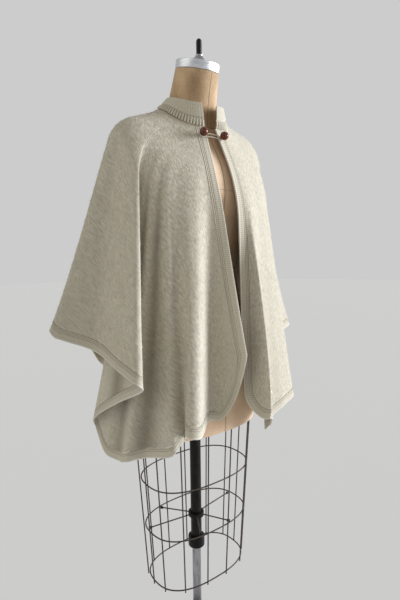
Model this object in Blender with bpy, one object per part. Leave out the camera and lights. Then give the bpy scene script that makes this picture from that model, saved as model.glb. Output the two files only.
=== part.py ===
"""A knitted wool cape on its dress form: cape, collar, edge bands, ball buttons and their loop, over a
tailor's torso with a wire skirt cage on a telescoping stand.

Metres, +Z up. The origin is on the floor, under the middle of the stand's pole. The form faces -Y, so the
wearer's right hand is at -X. Heights named "rise" are measured from the flat underside of the torso.
"""

import math
from collections import namedtuple

import bmesh
import bpy
import numpy as np

# Driving sizes
TORSO_UNDERSIDE = 0.72
GAP = 0.0003
CLOTH = 0.0025
BAND_WIDTH = 0.022
BAND_SEAM = 0.0012
BAND_RAISED = 0.0006

# Neckline of the cape, where the collar is sewn on
NECK_HALF_WIDTH = 0.0835
NECK_HALF_DEPTH = 0.0795
NECK_CENTRE_Y = -0.0072

# Yoke line, where the cloth leaves the shoulders, the bust and the shoulder blades and starts to hang
YOKE_HALF_WIDTH = 0.201
YOKE_CENTRE_X = -0.005
YOKE_FRONT = 0.146
YOKE_BACK = 0.138
YOKE_FRONT_RISE = 0.580
YOKE_BACK_RISE = 0.640
YOKE_SIDE_RISE = 0.722
YOKE_CREST_POWER = 4.0
YOKE_ROUNDING = 0.075
SHOULDER_SQUARE = 0.4

# Rounded lower corners of the two fronts
CORNER_ACROSS = {"right": 0.112, "left": 0.090}
CORNER_UP = {"right": 0.168, "left": 0.092}
CORNER_FLATNESS = {"right": 1.65, "left": 1.2}

Fold = namedtuple("Fold", "name neck yoke x y rise lag late", defaults=(0.0,))

# One row for each ridge, valley and turn of the hem, from the right front edge round the back to the left
# front edge. neck and yoke are degrees round from the front towards the wearer's right. x, y and rise
# place the hem. lag holds the cloth in on its way down, so that it flares late; late starts the fold itself
# lower down.
FOLDS = [
    Fold("right_edge", 16, 8, 0.021, -0.232, 0.043, 0.5),
    Fold("right_corner", 19.2, 12, -0.007, -0.176, 0.036, 0.4, 0.1),
    Fold("right_front", 22.5, 16, -0.039, -0.122, 0.042, 0.2, 0.3),
    Fold("flute_ridge", 29.6, 24.5, -0.151, -0.218, 0.059, 0.5, 0.5),
    Fold("flute_face", 33, 28.5, -0.169, -0.208, 0.062, 0.5, 0.5),
    Fold("flute_round", 36.4, 32.5, -0.156, -0.178, 0.061, 0.4, 0.5),
    Fold("flute_valley", 40.3, 37, -0.138, -0.152, 0.034, 0.2, 0.5),
    Fold("flute_hollow", 43, 40, -0.153, -0.153, 0.022, 0.1, 0.5),
    Fold("right_panel", 45.6, 43, -0.174, -0.152, 0.004, 0.1, 0.4),
    Fold("right_ridge", 49.2, 47, -0.199, -0.080, -0.019, 0.1, 0.3),
    Fold("right_side", 52.4, 50.5, -0.236, -0.062, -0.024, 0.1, 0.2),
    Fold("right_pocket", 55.1, 53.5, -0.228, -0.004, -0.045, 0.1),
    Fold("right_inner", 57.4, 56, -0.244, 0.030, -0.034, 0.1),
    Fold("right_turn", 59.2, 58, -0.252, 0.056, 0.020, 0.1),
    Fold("right_turn_round", 60.6, 59.5, -0.262, 0.046, 0.046, 0.1),
    Fold("right_return", 62.5, 61.5, -0.250, -0.050, 0.109, 0.1),
    Fold("right_tip", 64.8, 64, -0.240, -0.152, 0.165, 0.1),
    Fold("right_tip_round", 67.2, 66.5, -0.253, -0.152, 0.177, 0.1),
    Fold("right_wing", 73.3, 73, -0.266, -0.104, 0.195, 0.15),
    Fold("right_wing_side", 81.1, 81, -0.284, -0.024, 0.228, 0.2),
    Fold("right_wing_edge", 85.5, 85.5, -0.337, 0.013, 0.252, 0.2),
    Fold("right_wing_round", 88, 88, -0.353, 0.024, 0.260, 0.2),
    Fold("right_wing_corner", 90.5, 90.5, -0.358, 0.034, 0.273, 0.2),
    Fold("right_wing_fall", 93, 93, -0.330, 0.056, 0.258, 0.2),
    Fold("right_wing_back", 97, 97, -0.262, 0.092, 0.236, 0.2),
    Fold("back_right_tip_round", 103.5, 103.5, -0.186, 0.176, 0.150, 0.1),
    Fold("back_right_tip", 105.5, 105.5, -0.172, 0.172, 0.134, 0.1),
    Fold("back_right_return", 109.5, 109.5, -0.194, 0.116, 0.084, 0.1),
    Fold("back_right_turn_round", 113, 113, -0.212, 0.074, 0.018, 0.1),
    Fold("back_right_turn", 115, 115, -0.203, 0.066, -0.012, 0.1),
    Fold("back_right_inner", 121, 121, -0.150, 0.112, -0.076, 0.1),
    Fold("back_right_ridge", 130, 130, -0.128, 0.192, -0.106, 0.1),
    Fold("back_right_valley", 144, 144, -0.090, 0.170, -0.118, 0.1),
    Fold("back_ridge_1", 160, 160, -0.052, 0.232, -0.122, 0.1),
    Fold("back_valley", 180, 180, 0.003, 0.188, -0.124, 0.1),
    Fold("back_ridge_2", 200, 200, 0.060, 0.230, -0.122, 0.1),
    Fold("back_left_valley", 215, 215, 0.108, 0.170, -0.116, 0.1),
    Fold("back_left_ridge", 229, 229, 0.160, 0.196, -0.106, 0.1),
    Fold("back_left_inner", 239, 239, 0.190, 0.110, -0.072, 0.1),
    Fold("back_left_turn", 246, 246, 0.212, 0.070, -0.016, 0.1),
    Fold("back_left_turn_round", 248, 248, 0.222, 0.078, 0.014, 0.1),
    Fold("back_left_tip", 254, 254, 0.218, 0.166, 0.106, 0.1),
    Fold("back_left_tip_round", 256.5, 256.5, 0.231, 0.174, 0.124, 0.1),
    Fold("left_wing_back", 263, 263, 0.312, 0.092, 0.186, 0.2),
    Fold("left_wing_corner", 270, 270, 0.373, 0.012, 0.205, 0.35),
    Fold("left_wing_side", 278, 278, 0.300, -0.030, 0.198, 0.35),
    Fold("left_tip_round", 285.6, 285.5, 0.262, -0.052, 0.182, 0.1),
    Fold("left_tip", 287.7, 287.5, 0.248, -0.056, 0.170, 0.1),
    Fold("left_turn_round", 292.8, 292.5, 0.252, 0.046, 0.072, 0.1),
    Fold("left_turn", 294.8, 294.5, 0.242, 0.052, 0.052, 0.1),
    Fold("left_pocket", 300.5, 300, 0.206, -0.012, 0.020, 0.1),
    Fold("left_ridge", 307.7, 307, 0.266, -0.104, 0.034, 0.1),
    Fold("left_panel", 317.1, 316, 0.200, -0.134, 0.028, 0.1),
    Fold("left_hollow", 323.4, 322, 0.150, -0.142, 0.016, 0.1),
    Fold("left_valley", 329.7, 328, 0.106, -0.154, -0.008, 0.1),
    Fold("left_round", 335, 333, 0.098, -0.178, 0.010, 0.1),
    Fold("left_turn_flap", 338.2, 336, 0.063, -0.218, 0.044, -0.5),
    Fold("left_flap", 343.6, 341, 0.038, -0.236, 0.060, -1.0),
    Fold("left_corner", 350, 347, 0.034, -0.200, 0.031, 0.3),
    Fold("left_edge", 356, 352.5, 0.026, -0.173, 0.014, 1.2),
]
RIGHT_SEAM = [fold.name for fold in FOLDS].index("right_wing_corner")
LEFT_SEAM = [fold.name for fold in FOLDS].index("left_wing_corner")

# Collar: it starts at the neckline, is drawn towards the second ring, and ends at the third. front, quarter,
# side and back are the heights at 0, 45, 90 and 180 degrees round.
CollarRing = namedtuple(
    "CollarRing", "half_width half_depth centre_y front quarter side back right_end left_end"
)
COLLAR = [
    CollarRing(NECK_HALF_WIDTH, NECK_HALF_DEPTH, NECK_CENTRE_Y, 0.7160, 0.7260, 0.7600, 0.7840, 16.5, 357.0),
    CollarRing(0.0765, 0.0800, -0.0144, 0.7285, 0.7385, 0.7740, 0.7900, 20.0, 354.5),
    CollarRing(0.0665, 0.0690, -0.0180, 0.7660, 0.7720, 0.7890, 0.7990, 25.0, 351.0),
]
HEIGHT_DEGREES = (-45, 0, 45, 90, 180, 270, 315, 360, 405)
COLLAR_WALL = 0.0025
COLLAR_LIFT = 0.0007
COLLAR_RIBS = 48
RIB_RAISED = 0.0016

Ring = namedtuple("Ring", "rise half_width front back squareness lean")

# Sections of the torso. front and back are depths from the section's own middle; lean moves that middle
# along Y.
TORSO = [
    Ring(0.000, 0.164, 0.117, 0.117, 2.5, 0.0),
    Ring(0.010, 0.167, 0.119, 0.120, 2.5, 0.0),
    Ring(0.080, 0.170, 0.118, 0.128, 2.4, 0.0),
    Ring(0.160, 0.166, 0.112, 0.128, 2.3, 0.0),
    Ring(0.270, 0.143, 0.100, 0.104, 2.2, 0.0),
    Ring(0.400, 0.119, 0.090, 0.080, 2.1, 0.0),
    Ring(0.480, 0.130, 0.104, 0.090, 2.2, 0.0),
    Ring(0.575, 0.150, 0.122, 0.102, 2.4, 0.0),
    Ring(0.635, 0.158, 0.107, 0.106, 2.4, 0.0),
    Ring(0.672, 0.172, 0.086, 0.096, 2.2, 0.0),
    Ring(0.694, 0.170, 0.074, 0.086, 2.1, 0.002),
    Ring(0.712, 0.150, 0.068, 0.076, 2.0, 0.003),
    Ring(0.728, 0.120, 0.064, 0.069, 2.0, 0.003),
    Ring(0.742, 0.092, 0.061, 0.063, 2.0, 0.002),
    Ring(0.756, 0.073, 0.060, 0.059, 2.0, -0.001),
    Ring(0.775, 0.0625, 0.058, 0.057, 2.0, -0.005),
    Ring(0.812, 0.0560, 0.054, 0.054, 2.0, -0.015),
    Ring(0.855, 0.0510, 0.0510, 0.0510, 2.0, -0.028),
]
TORSO_SIDES = 40
NECK_SLOPE = 0.24
NECK_SLOPE_FROM = 0.756

# Neck cap and its top hardware
CAP_RISE = 0.8555
CAP_RADIUS = 0.0515
CAP_HEIGHT = 0.0185
HUB_RADIUS = 0.017
HUB_NECK = 0.0085
HUB_HEIGHT = 0.016
FINIAL_RADIUS = 0.0066
FINIAL_HEIGHT = 0.035

# Stand
TUBE_RADIUS = 0.0145
TUBE_BORE = 0.0125
POLE_RADIUS = 0.0116
TUBE_END_RISE = -0.331
POLE_TOP_RISE = -0.120
FLANGE_RADIUS = 0.042
FLANGE_HEIGHT = 0.006
LOCK_RADIUS = 0.022
LOCK_HEIGHT = 0.028
LOCK_BORE = 0.0121
SCREW_RADIUS = 0.004
SCREW_LENGTH = 0.012
SCREW_TURN = 36.5
KNOB_RADIUS = 0.009
KNOB_HEIGHT = 0.008
BASE_RADIUS = 0.210
BASE_HEIGHT = 0.016
BOSS_RADIUS = 0.030
BOSS_HEIGHT = 0.075

# Wire cage
WIRE_RADIUS = 0.0017
RING_HALF_WIDTH = 0.149
RING_HALF_DEPTH = 0.096
RING_SQUARENESS = 2.56
RING_RISES = (-0.137, -0.268, -0.405)
RING_SHARES = (1.0, 0.943, 0.886)
UPRIGHTS = 14
SPOKE_TURNS = (19.8, 104.5, 154.0, -154.0, -104.5, -19.8)
SPOKE_HUB_RADIUS = 0.021
SPOKE_HUB_HEIGHT = 0.012
NUT_RADIUS = 0.0036
NUT_CLEAR = 0.0026
NUT_LENGTH = 0.008

# Ball buttons and their loop
BALL_RADIUS = 0.0098
BUTTON_INSET = {"right": 0.013, "left": 0.004}
BUTTON_DOWN = 0.038
SHANK_RADIUS = 0.0022
SHANK_LENGTH = 0.0030
LOOP_RADIUS = 0.0011
LOOP_HEIGHT = 0.0016
LOOP_BULGE = 0.0040


def clear_scene():
    for thing in list(bpy.data.objects):
        bpy.data.objects.remove(thing)


def material(name, colour, roughness, metallic=0.0):
    made = bpy.data.materials.new(name)
    made.use_nodes = True
    shader = made.node_tree.nodes["Principled BSDF"]
    shader.inputs["Base Color"].default_value = (*colour, 1.0)
    shader.inputs["Roughness"].default_value = roughness
    shader.inputs["Metallic"].default_value = metallic
    return made


def new_object(name, mesh, finish):
    thing = bpy.data.objects.new(name, mesh)
    bpy.context.scene.collection.objects.link(thing)
    mesh.materials.append(finish)
    return thing


def mesh_of(name, points, faces):
    mesh = bpy.data.meshes.new(name)
    mesh.from_pydata([tuple(p) for p in points], [], faces)
    mesh.validate()
    shape = bmesh.new()
    shape.from_mesh(mesh)
    bmesh.ops.recalc_face_normals(shape, faces=shape.faces)
    shape.to_mesh(mesh)
    shape.free()
    return mesh


# Smooth curves through a table's rows


def through(knots, values, at):
    """A cubic curve through values at knots, with slopes from the neighbours, read at any array of knots."""
    knots = np.asarray(knots, float)
    values = np.asarray(values, float)
    slopes = np.gradient(values, knots, axis=0)
    at = np.asarray(at, float)
    cell = np.clip(np.searchsorted(knots, at, side="right") - 1, 0, len(knots) - 2)
    width = knots[cell + 1] - knots[cell]
    t = (at - knots[cell]) / width
    shape = t.shape + (1,) * (values.ndim - 1)
    t, width = t.reshape(shape), width.reshape(shape)
    before, after = values[cell], values[cell + 1]
    return (
        before * (1 + 2 * t) * (1 - t) ** 2
        + after * t * t * (3 - 2 * t)
        + slopes[cell] * width * t * (1 - t) ** 2
        - slopes[cell + 1] * width * t * t * (1 - t)
    )


HEMS = np.array([(f.x, f.y, f.rise) for f in FOLDS])
LAGS = np.array([f.lag for f in FOLDS])
LATES = np.array([f.late for f in FOLDS])
KNOTS = np.concatenate([[0.0], np.cumsum(np.sqrt(np.linalg.norm(np.diff(HEMS, axis=0), axis=1)))])
KNOTS = KNOTS / KNOTS[-1]


def mean_hem(turns, spread_over):
    """The hem with its folds averaged out, by a bell of weights this many turns wide on each side."""
    hems = through(KNOTS, HEMS, turns)
    bell = np.exp(-0.5 * np.linspace(-2.5, 2.5, 2 * spread_over + 1) ** 2)
    ends = [np.repeat(hems[:1], spread_over, axis=0), hems, np.repeat(hems[-1:], spread_over, axis=0)]
    padded = np.concatenate(ends)
    return np.stack([np.convolve(padded[:, k], bell / bell.sum(), "valid") for k in range(3)], axis=1)


MEAN_TURNS = np.linspace(0, 1, 401)
MEAN_HEM = mean_hem(MEAN_TURNS, 30)


def around(degrees):
    """Unit direction in plan: 0 faces the front, 90 the wearer's right, 180 the back."""
    turned = np.radians(degrees)
    return -np.sin(turned), -np.cos(turned)


def ring_point(ring, degrees):
    """A point on one ring of the collar. The lowest ring is the neckline."""
    side, ahead = around(degrees)
    half = (ring.front, ring.quarter, ring.side)
    heights = (ring.quarter, *half, ring.back, *half[::-1], ring.quarter)
    rise = through(HEIGHT_DEGREES, heights, degrees)
    return np.stack([ring.half_width * side, ring.centre_y + ring.half_depth * ahead, rise], axis=-1)


def yoke_point(degrees):
    side, ahead = around(degrees)
    crest = np.abs(side) ** YOKE_CREST_POWER
    low = np.where(ahead < 0, YOKE_FRONT_RISE, YOKE_BACK_RISE)
    depth = np.where(ahead < 0, YOKE_FRONT, YOKE_BACK)
    across = YOKE_CENTRE_X + YOKE_HALF_WIDTH * side
    return np.stack([across, depth * ahead, low + (YOKE_SIDE_RISE - low) * crest], axis=-1)


def cape_point(turn, down):
    """A point of the cape's outer face. turn runs from 0 at the right front edge, round the back, to 1 at the
    left front edge; down runs from 0 at the neck seam to 1 at the hem. Each line of constant turn goes
    straight from the neck to the yoke, rounds over it, and hangs to the hem, held in by its lag on the way."""
    turn, down = np.broadcast_arrays(np.asarray(turn, float), np.asarray(down, float))
    neck = ring_point(COLLAR[0], through(KNOTS, [f.neck for f in FOLDS], turn))
    yoke = yoke_point(through(KNOTS, [f.yoke for f in FOLDS], turn))
    hem = through(KNOTS, HEMS, turn)
    over = yoke - neck
    hang = hem - yoke
    over_length = np.linalg.norm(over, axis=-1)
    hang_length = np.linalg.norm(hang, axis=-1)
    over_way = over / over_length[..., None]
    hang_way = hang / hang_length[..., None]
    side = np.abs(around(through(KNOTS, [f.yoke for f in FOLDS], turn))[0])
    rounding = np.minimum(YOKE_ROUNDING * (1 - SHOULDER_SQUARE * side**6), 0.8 * over_length)
    along = down * (over_length + hang_length)
    bend = np.clip((along - over_length + rounding) / (2 * rounding), 0, 1)[..., None]
    start = yoke - over_way * rounding[..., None]
    end = yoke + hang_way * rounding[..., None]
    bent = start * (1 - bend) ** 2 + 2 * yoke * bend * (1 - bend) + end * bend**2
    before = np.minimum(along - (over_length - rounding), 0)[..., None] * over_way
    after = np.maximum(along - (over_length + rounding), 0)[..., None] * hang_way
    share = np.clip((along - over_length) / hang_length, 0, 1)
    held_in = through(KNOTS, LAGS, turn) * share * share * (share - 1)
    mean = np.stack([np.interp(turn, MEAN_TURNS, MEAN_HEM[:, k]) for k in range(3)], axis=-1)
    late = through(KNOTS, LATES, turn) * share * (share - 1)
    level = np.array([1.0, 1.0, 0.0])
    sideways = hang * level * held_in[..., None] + (hem - mean) * level * late[..., None]
    return bent + before + after + sideways + np.array([0, 0, TORSO_UNDERSIDE])


def column_length(turn):
    """Length of the cloth from neck seam to hem, at each turn."""
    steps = np.linspace(0, 1, 60)
    line = cape_point(np.asarray(turn, float)[..., None], steps)
    return np.linalg.norm(np.diff(line, axis=-2), axis=-1).sum(axis=-1)


FINE_TURNS = np.linspace(0, 1, 1201)
FINE_LENGTHS = column_length(FINE_TURNS)


def down_at(turn, above_hem):
    """The share down the cloth that lies this far above the hem line, measured along the cloth."""
    return 1 - above_hem / np.interp(turn, FINE_TURNS, FINE_LENGTHS)


def turn_in_from_edge(distance, down, left):
    """The turn that lies this far in from a front edge, measured round the cloth at the same share down."""
    near = np.linspace(0, 0.16, 120)
    turns = 1 - near if left else near
    line = cape_point(turns, np.full(len(turns), down))
    length = np.concatenate([[0], np.cumsum(np.linalg.norm(np.diff(line, axis=0), axis=1))])
    return float(np.interp(distance, length, turns))


def beside_seam(seam, side, down):
    """The turn half a gap to one side of a shoulder seam."""
    step = 0.001
    speed = np.linalg.norm(cape_point(seam + step, down) - cape_point(seam - step, down), axis=-1) / (2 * step)
    return seam + side * GAP / 2 / speed


def out_of_cape(turn, down):
    """Unit direction out of the cloth, away from the wearer."""
    turn, down = np.broadcast_arrays(np.asarray(turn, float), np.asarray(down, float))
    before, after = np.maximum(turn - 0.001, 0), np.minimum(turn + 0.001, 1)
    above, below = np.maximum(down - 0.002, 0), np.minimum(down + 0.002, 1)
    across = cape_point(after, down) - cape_point(before, down)
    along = cape_point(turn, below) - cape_point(turn, above)
    raw = np.cross(across, along)
    return raw / np.linalg.norm(raw, axis=-1, keepdims=True)


# Walls of cloth

ROWS = 12
DOWN_THE_CLOTH = np.linspace(0, 1, ROWS) ** 0.9
CORNER_PLACES = np.linspace(1, 2, 7)
HEM_PLACES = np.linspace(2, 3, 42)
BACK_COLUMNS = 60
TOP_SHARE = 0.001


def wall(name, grid, normal, thickness, finish, raised=0.0):
    """A closed wall: the grid is its outer face, moved out by raised, and the inner face lies thickness
    inside the grid."""
    rows, columns = grid.shape[:2]
    outer = grid + normal * (np.zeros((rows, columns)) + raised)[..., None]
    inner = grid - normal * thickness
    points = np.concatenate([outer.reshape(-1, 3), inner.reshape(-1, 3)])
    number = np.arange(rows * columns).reshape(rows, columns)
    inside = number + rows * columns
    faces = []
    for i in range(rows - 1):
        for j in range(columns - 1):
            a, b, c, d = number[i, j], number[i, j + 1], number[i + 1, j + 1], number[i + 1, j]
            faces.append((a, b, c, d))
            a, b, c, d = inside[i, j], inside[i, j + 1], inside[i + 1, j + 1], inside[i + 1, j]
            faces.append((d, c, b, a))
    rim = [*number[0, :], *number[1:, -1], *number[-1, -2::-1], *number[-2:0:-1, 0]]
    under = rows * columns
    for k, a in enumerate(rim):
        b = rim[(k + 1) % len(rim)]
        # Two walls that meet at a seam split their facing rims along the same diagonal
        if points[a][2] > points[b][2]:
            faces.extend([(b, a, b + under), (a, a + under, b + under)])
        else:
            faces.extend([(b, a, a + under), (b, a + under, b + under)])
    thing = new_object(name, mesh_of(name, points, [tuple(int(n) for n in face) for face in faces]), finish)
    thing.data.shade_smooth()
    thing.data.set_sharp_from_angle(angle=math.radians(50))
    return thing


def cape_wall(name, turns, downs, finish, raised=0.0):
    return wall(name, cape_point(turns, downs), out_of_cape(turns, downs), CLOTH, finish, raised)


def spread(first, last, count):
    return np.linspace(0, 1, count) * (last - first) + first


def corner_line(inset, places, left):
    """The line this far in from a front's free edge, as turns and downs. places runs 1 to 2 round the rounded
    corner and 2 to 3 along the hem to the shoulder seam."""
    seam, side = (KNOTS[LEFT_SEAM], 1) if left else (KNOTS[RIGHT_SEAM], -1)
    hand = "left" if left else "right"
    wide, tall, flatness = CORNER_ACROSS[hand], CORNER_UP[hand], CORNER_FLATNESS[hand]
    corner_turn = turn_in_from_edge(wide, 1.0, left)
    turns, downs = [], []
    for place in places:
        if place < 2:
            angle = (place - 1) * math.pi / 2
            across = wide - (wide - inset) * math.cos(angle) ** flatness
            above = tall - (tall - inset) * math.sin(angle) ** flatness
            turn = turn_in_from_edge(across, 1.0, left)
            for attempt in range(3):
                down = float(down_at(turn, above))
                turn = turn_in_from_edge(across, down * (2 - place) + place - 1, left)
        else:
            down = float(down_at(corner_turn + (seam - corner_turn) * (place - 2), inset))
            turn = corner_turn + (beside_seam(seam, side, down) - corner_turn) * (place - 2)
        turns.append(turn)
        downs.append(down)
    return np.array(turns), np.array(downs)


def edge_line(inset, left):
    """The line this far in from a front's free edge: down the straight edge, then round to the shoulder seam."""
    places = np.concatenate([CORNER_PLACES[:-1], HEM_PLACES])
    turns, downs = corner_line(inset, places, left)
    straight = TOP_SHARE + (downs[0] - TOP_SHARE) * DOWN_THE_CLOTH[:-1]
    edge = [turn_in_from_edge(inset, down, left) for down in straight]
    return np.concatenate([edge, turns]), np.concatenate([straight, downs])


def front_band(name, left, finish):
    """The knitted band along one front edge, round its corner and along its hem to the shoulder seam."""
    lines = [edge_line(inset, left) for inset in (0.0, BAND_WIDTH)]
    if left:
        lines = lines[::-1]
    turns = np.stack([line[0] for line in lines])
    downs = np.stack([line[1] for line in lines])
    return cape_wall(name, turns, downs, finish, raised=BAND_RAISED)


def front_panel(name, left, finish):
    """One front, inside its band, from the neck seam to the shoulder seam."""
    seam, side = (KNOTS[LEFT_SEAM], 1) if left else (KNOTS[RIGHT_SEAM], -1)
    inset = BAND_WIDTH + BAND_SEAM
    places = np.concatenate([CORNER_PLACES[:-1], HEM_PLACES])
    bottom_turns, bottom_downs = corner_line(inset, places, left)
    shares = (bottom_turns - bottom_turns[0]) / (bottom_turns[-1] - bottom_turns[0])
    downs = TOP_SHARE + (bottom_downs[:, None] - TOP_SHARE) * DOWN_THE_CLOTH[None, :]
    edges = np.vectorize(lambda down: turn_in_from_edge(inset, down, left))(downs)
    turns = edges + (beside_seam(seam, side, downs) - edges) * shares[:, None]
    turns[:, -1] = bottom_turns
    if left:
        turns, downs = turns[::-1], downs[::-1]
    return cape_wall(name, turns, downs, finish)


def back_turns(down):
    first = beside_seam(KNOTS[RIGHT_SEAM], 1, down)
    last = beside_seam(KNOTS[LEFT_SEAM], -1, down)
    return spread(first, last, BACK_COLUMNS)


def back_panel(name, finish):
    bottoms = down_at(back_turns(1.0), BAND_WIDTH + BAND_SEAM)
    downs = TOP_SHARE + (bottoms[:, None] - TOP_SHARE) * DOWN_THE_CLOTH[None, :]
    share = np.linspace(0, 1, BACK_COLUMNS)[:, None]
    first = beside_seam(KNOTS[RIGHT_SEAM], 1, downs)
    last = beside_seam(KNOTS[LEFT_SEAM], -1, downs)
    return cape_wall(name, first + (last - first) * share, downs, finish)


def back_band(name, finish):
    turns = back_turns(1.0)[:, None]
    downs = np.concatenate([down_at(turns, BAND_WIDTH), np.ones((BACK_COLUMNS, 1))], axis=1)
    return cape_wall(name, turns + np.zeros((1, 2)), downs, finish, raised=BAND_RAISED)


def normals_of(grid):
    """Unit normals of a grid of points, rows round the wearer and columns downwards."""
    raw = np.cross(np.gradient(grid, axis=0), np.gradient(grid, axis=1))
    return raw / np.maximum(np.linalg.norm(raw, axis=-1, keepdims=True), 1e-12)


def collar(finish):
    """The ribbed collar: its outer face is raised rib by rib over a plain inner face."""
    steps = COLLAR_RIBS * 2 + 1
    heights = np.linspace(0, 1, 5)
    low, middle, top = (ring_point(ring, spread(ring.right_end, ring.left_end, steps))[:, None] for ring in COLLAR)
    v = heights[None, :, None]
    grid = low * (1 - v) ** 2 + 2 * middle * v * (1 - v) + top * v**2
    grid = grid + np.array([0, 0, TORSO_UNDERSIDE + COLLAR_LIFT])
    ribs = np.where(np.arange(steps) % 2 == 1, RIB_RAISED, 0.0)
    raised = ribs[:, None] * (1 - 0.55 * heights[None, :])
    grid, raised = grid[:, ::-1], raised[:, ::-1]
    return wall("collar", grid, normals_of(grid), COLLAR_WALL, finish, raised)


# Solids of revolution, rods and lofts


def lathe(name, profile, sides, finish, centre=(0.0, 0.0), slopes=None, drift=0.0, hollow=False):
    """Turns (radius, height) points round the vertical. A solid one closes on the axis; a hollow one closes on
    itself. slopes tips each ring down towards the front, and drift moves it forwards as it rises."""
    slopes = slopes or [0.0] * len(profile)
    rings = []
    for (radius, height), slope in zip(profile, slopes):
        ring = []
        for i in range(sides):
            turn = 2 * math.pi * i / sides
            x, y = radius * math.cos(turn), radius * math.sin(turn)
            ahead = drift * (height - profile[0][1])
            ring.append((centre[0] + x, centre[1] + y - ahead, height + y * slope))
        rings.append(ring)
    points = [p for ring in rings for p in ring]
    faces = []
    count = len(rings)
    for k in range(count if hollow else count - 1):
        a, b = k * sides, (k + 1) % count * sides
        for i in range(sides):
            j = (i + 1) % sides
            faces.append((a + i, a + j, b + j, b + i))
    if not hollow:
        faces.append(tuple(range(sides))[::-1])
        faces.append(tuple(range((count - 1) * sides, count * sides)))
    thing = new_object(name, mesh_of(name, points, faces), finish)
    thing.data.shade_smooth()
    thing.data.set_sharp_from_angle(angle=math.radians(35))
    return thing


def tube_along(name, path, radius, sides, finish, closed=False, up=(0, 0, 1)):
    """A round rod along a path of points. A closed path makes a ring."""
    path = np.asarray(path, float)
    if closed:
        ways = np.roll(path, -1, axis=0) - np.roll(path, 1, axis=0)
    else:
        ways = np.gradient(path, axis=0)
    ways = ways / np.linalg.norm(ways, axis=1, keepdims=True)
    across = np.cross(ways, np.asarray(up, float))
    across = across / np.linalg.norm(across, axis=1, keepdims=True)
    over = np.cross(across, ways)
    turns = 2 * math.pi * np.arange(sides) / sides
    points = (
        path[:, None]
        + radius * np.cos(turns)[None, :, None] * across[:, None]
        + radius * np.sin(turns)[None, :, None] * over[:, None]
    ).reshape(-1, 3)
    count = len(path)
    faces = []
    for k in range(count if closed else count - 1):
        a, b = k * sides, (k + 1) % count * sides
        for i in range(sides):
            j = (i + 1) % sides
            faces.append((a + i, a + j, b + j, b + i))
    if not closed:
        faces.append(tuple(range(sides))[::-1])
        faces.append(tuple(range((count - 1) * sides, count * sides)))
    thing = new_object(name, mesh_of(name, points, faces), finish)
    thing.data.shade_smooth()
    thing.data.set_sharp_from_angle(angle=math.radians(50))
    return thing


def oval(half_width, front, back, squareness, turn):
    """A point of a rounded section; turn 0 faces the front."""
    side, ahead = -math.sin(turn), -math.cos(turn)
    depth = front if ahead < 0 else back
    reach = (abs(side) ** squareness + abs(ahead) ** squareness) ** (-1 / squareness)
    return half_width * side * reach, depth * ahead * reach


def torso(finish):
    points = []
    for ring in TORSO:
        lean_share = min(max((ring.rise - NECK_SLOPE_FROM) / (TORSO[-1].rise - NECK_SLOPE_FROM), 0), 1)
        for i in range(TORSO_SIDES):
            x, y = oval(ring.half_width, ring.front, ring.back, ring.squareness, 2 * math.pi * i / TORSO_SIDES)
            points.append((x, ring.lean + y, TORSO_UNDERSIDE + ring.rise + y * NECK_SLOPE * lean_share))
    faces = []
    for k in range(len(TORSO) - 1):
        a, b = k * TORSO_SIDES, (k + 1) * TORSO_SIDES
        for i in range(TORSO_SIDES):
            j = (i + 1) % TORSO_SIDES
            faces.append((a + i, a + j, b + j, b + i))
    faces.append(tuple(range(TORSO_SIDES))[::-1])
    faces.append(tuple(range((len(TORSO) - 1) * TORSO_SIDES, len(TORSO) * TORSO_SIDES)))
    thing = new_object("torso", mesh_of("torso", points, faces), finish)
    thing.data.shade_smooth()
    thing.data.set_sharp_from_angle(angle=math.radians(40))


def at_rise(rise):
    return TORSO_UNDERSIDE + rise


def top_hardware(aluminium, black):
    """The neck cap leans forwards like the neck; its hub comes back to level, and carries the finial."""
    base = at_rise(CAP_RISE)
    cap = [
        (CAP_RADIUS - 0.0012, base),
        (CAP_RADIUS, base + 0.0012),
        (CAP_RADIUS, base + CAP_HEIGHT - 0.0015),
        (CAP_RADIUS - 0.0015, base + CAP_HEIGHT),
    ]
    middle = TORSO[-1].lean
    lathe("neck_cap", cap, 32, aluminium, centre=(0, middle), slopes=[NECK_SLOPE] * 4, drift=NECK_SLOPE)
    base = base + CAP_HEIGHT + GAP
    middle = middle - (CAP_HEIGHT + GAP) * NECK_SLOPE
    hub = [
        (HUB_RADIUS, base),
        (HUB_RADIUS, base + 0.004),
        (HUB_RADIUS - 0.004, base + 0.009),
        (HUB_NECK, base + 0.013),
        (HUB_NECK, base + HUB_HEIGHT),
    ]
    slopes = [NECK_SLOPE, NECK_SLOPE, NECK_SLOPE / 2, 0, 0]
    lathe("cap_hub", hub, 20, aluminium, centre=(0, middle), slopes=slopes, drift=NECK_SLOPE)
    base = base + HUB_HEIGHT + GAP
    middle = middle - HUB_HEIGHT * NECK_SLOPE
    finial = [
        (FINIAL_RADIUS - 0.001, base),
        (FINIAL_RADIUS, base + 0.001),
        (FINIAL_RADIUS, base + FINIAL_HEIGHT - 0.003),
        (FINIAL_RADIUS - 0.003, base + FINIAL_HEIGHT),
    ]
    lathe("finial", finial, 16, black, centre=(0, middle))


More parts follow.
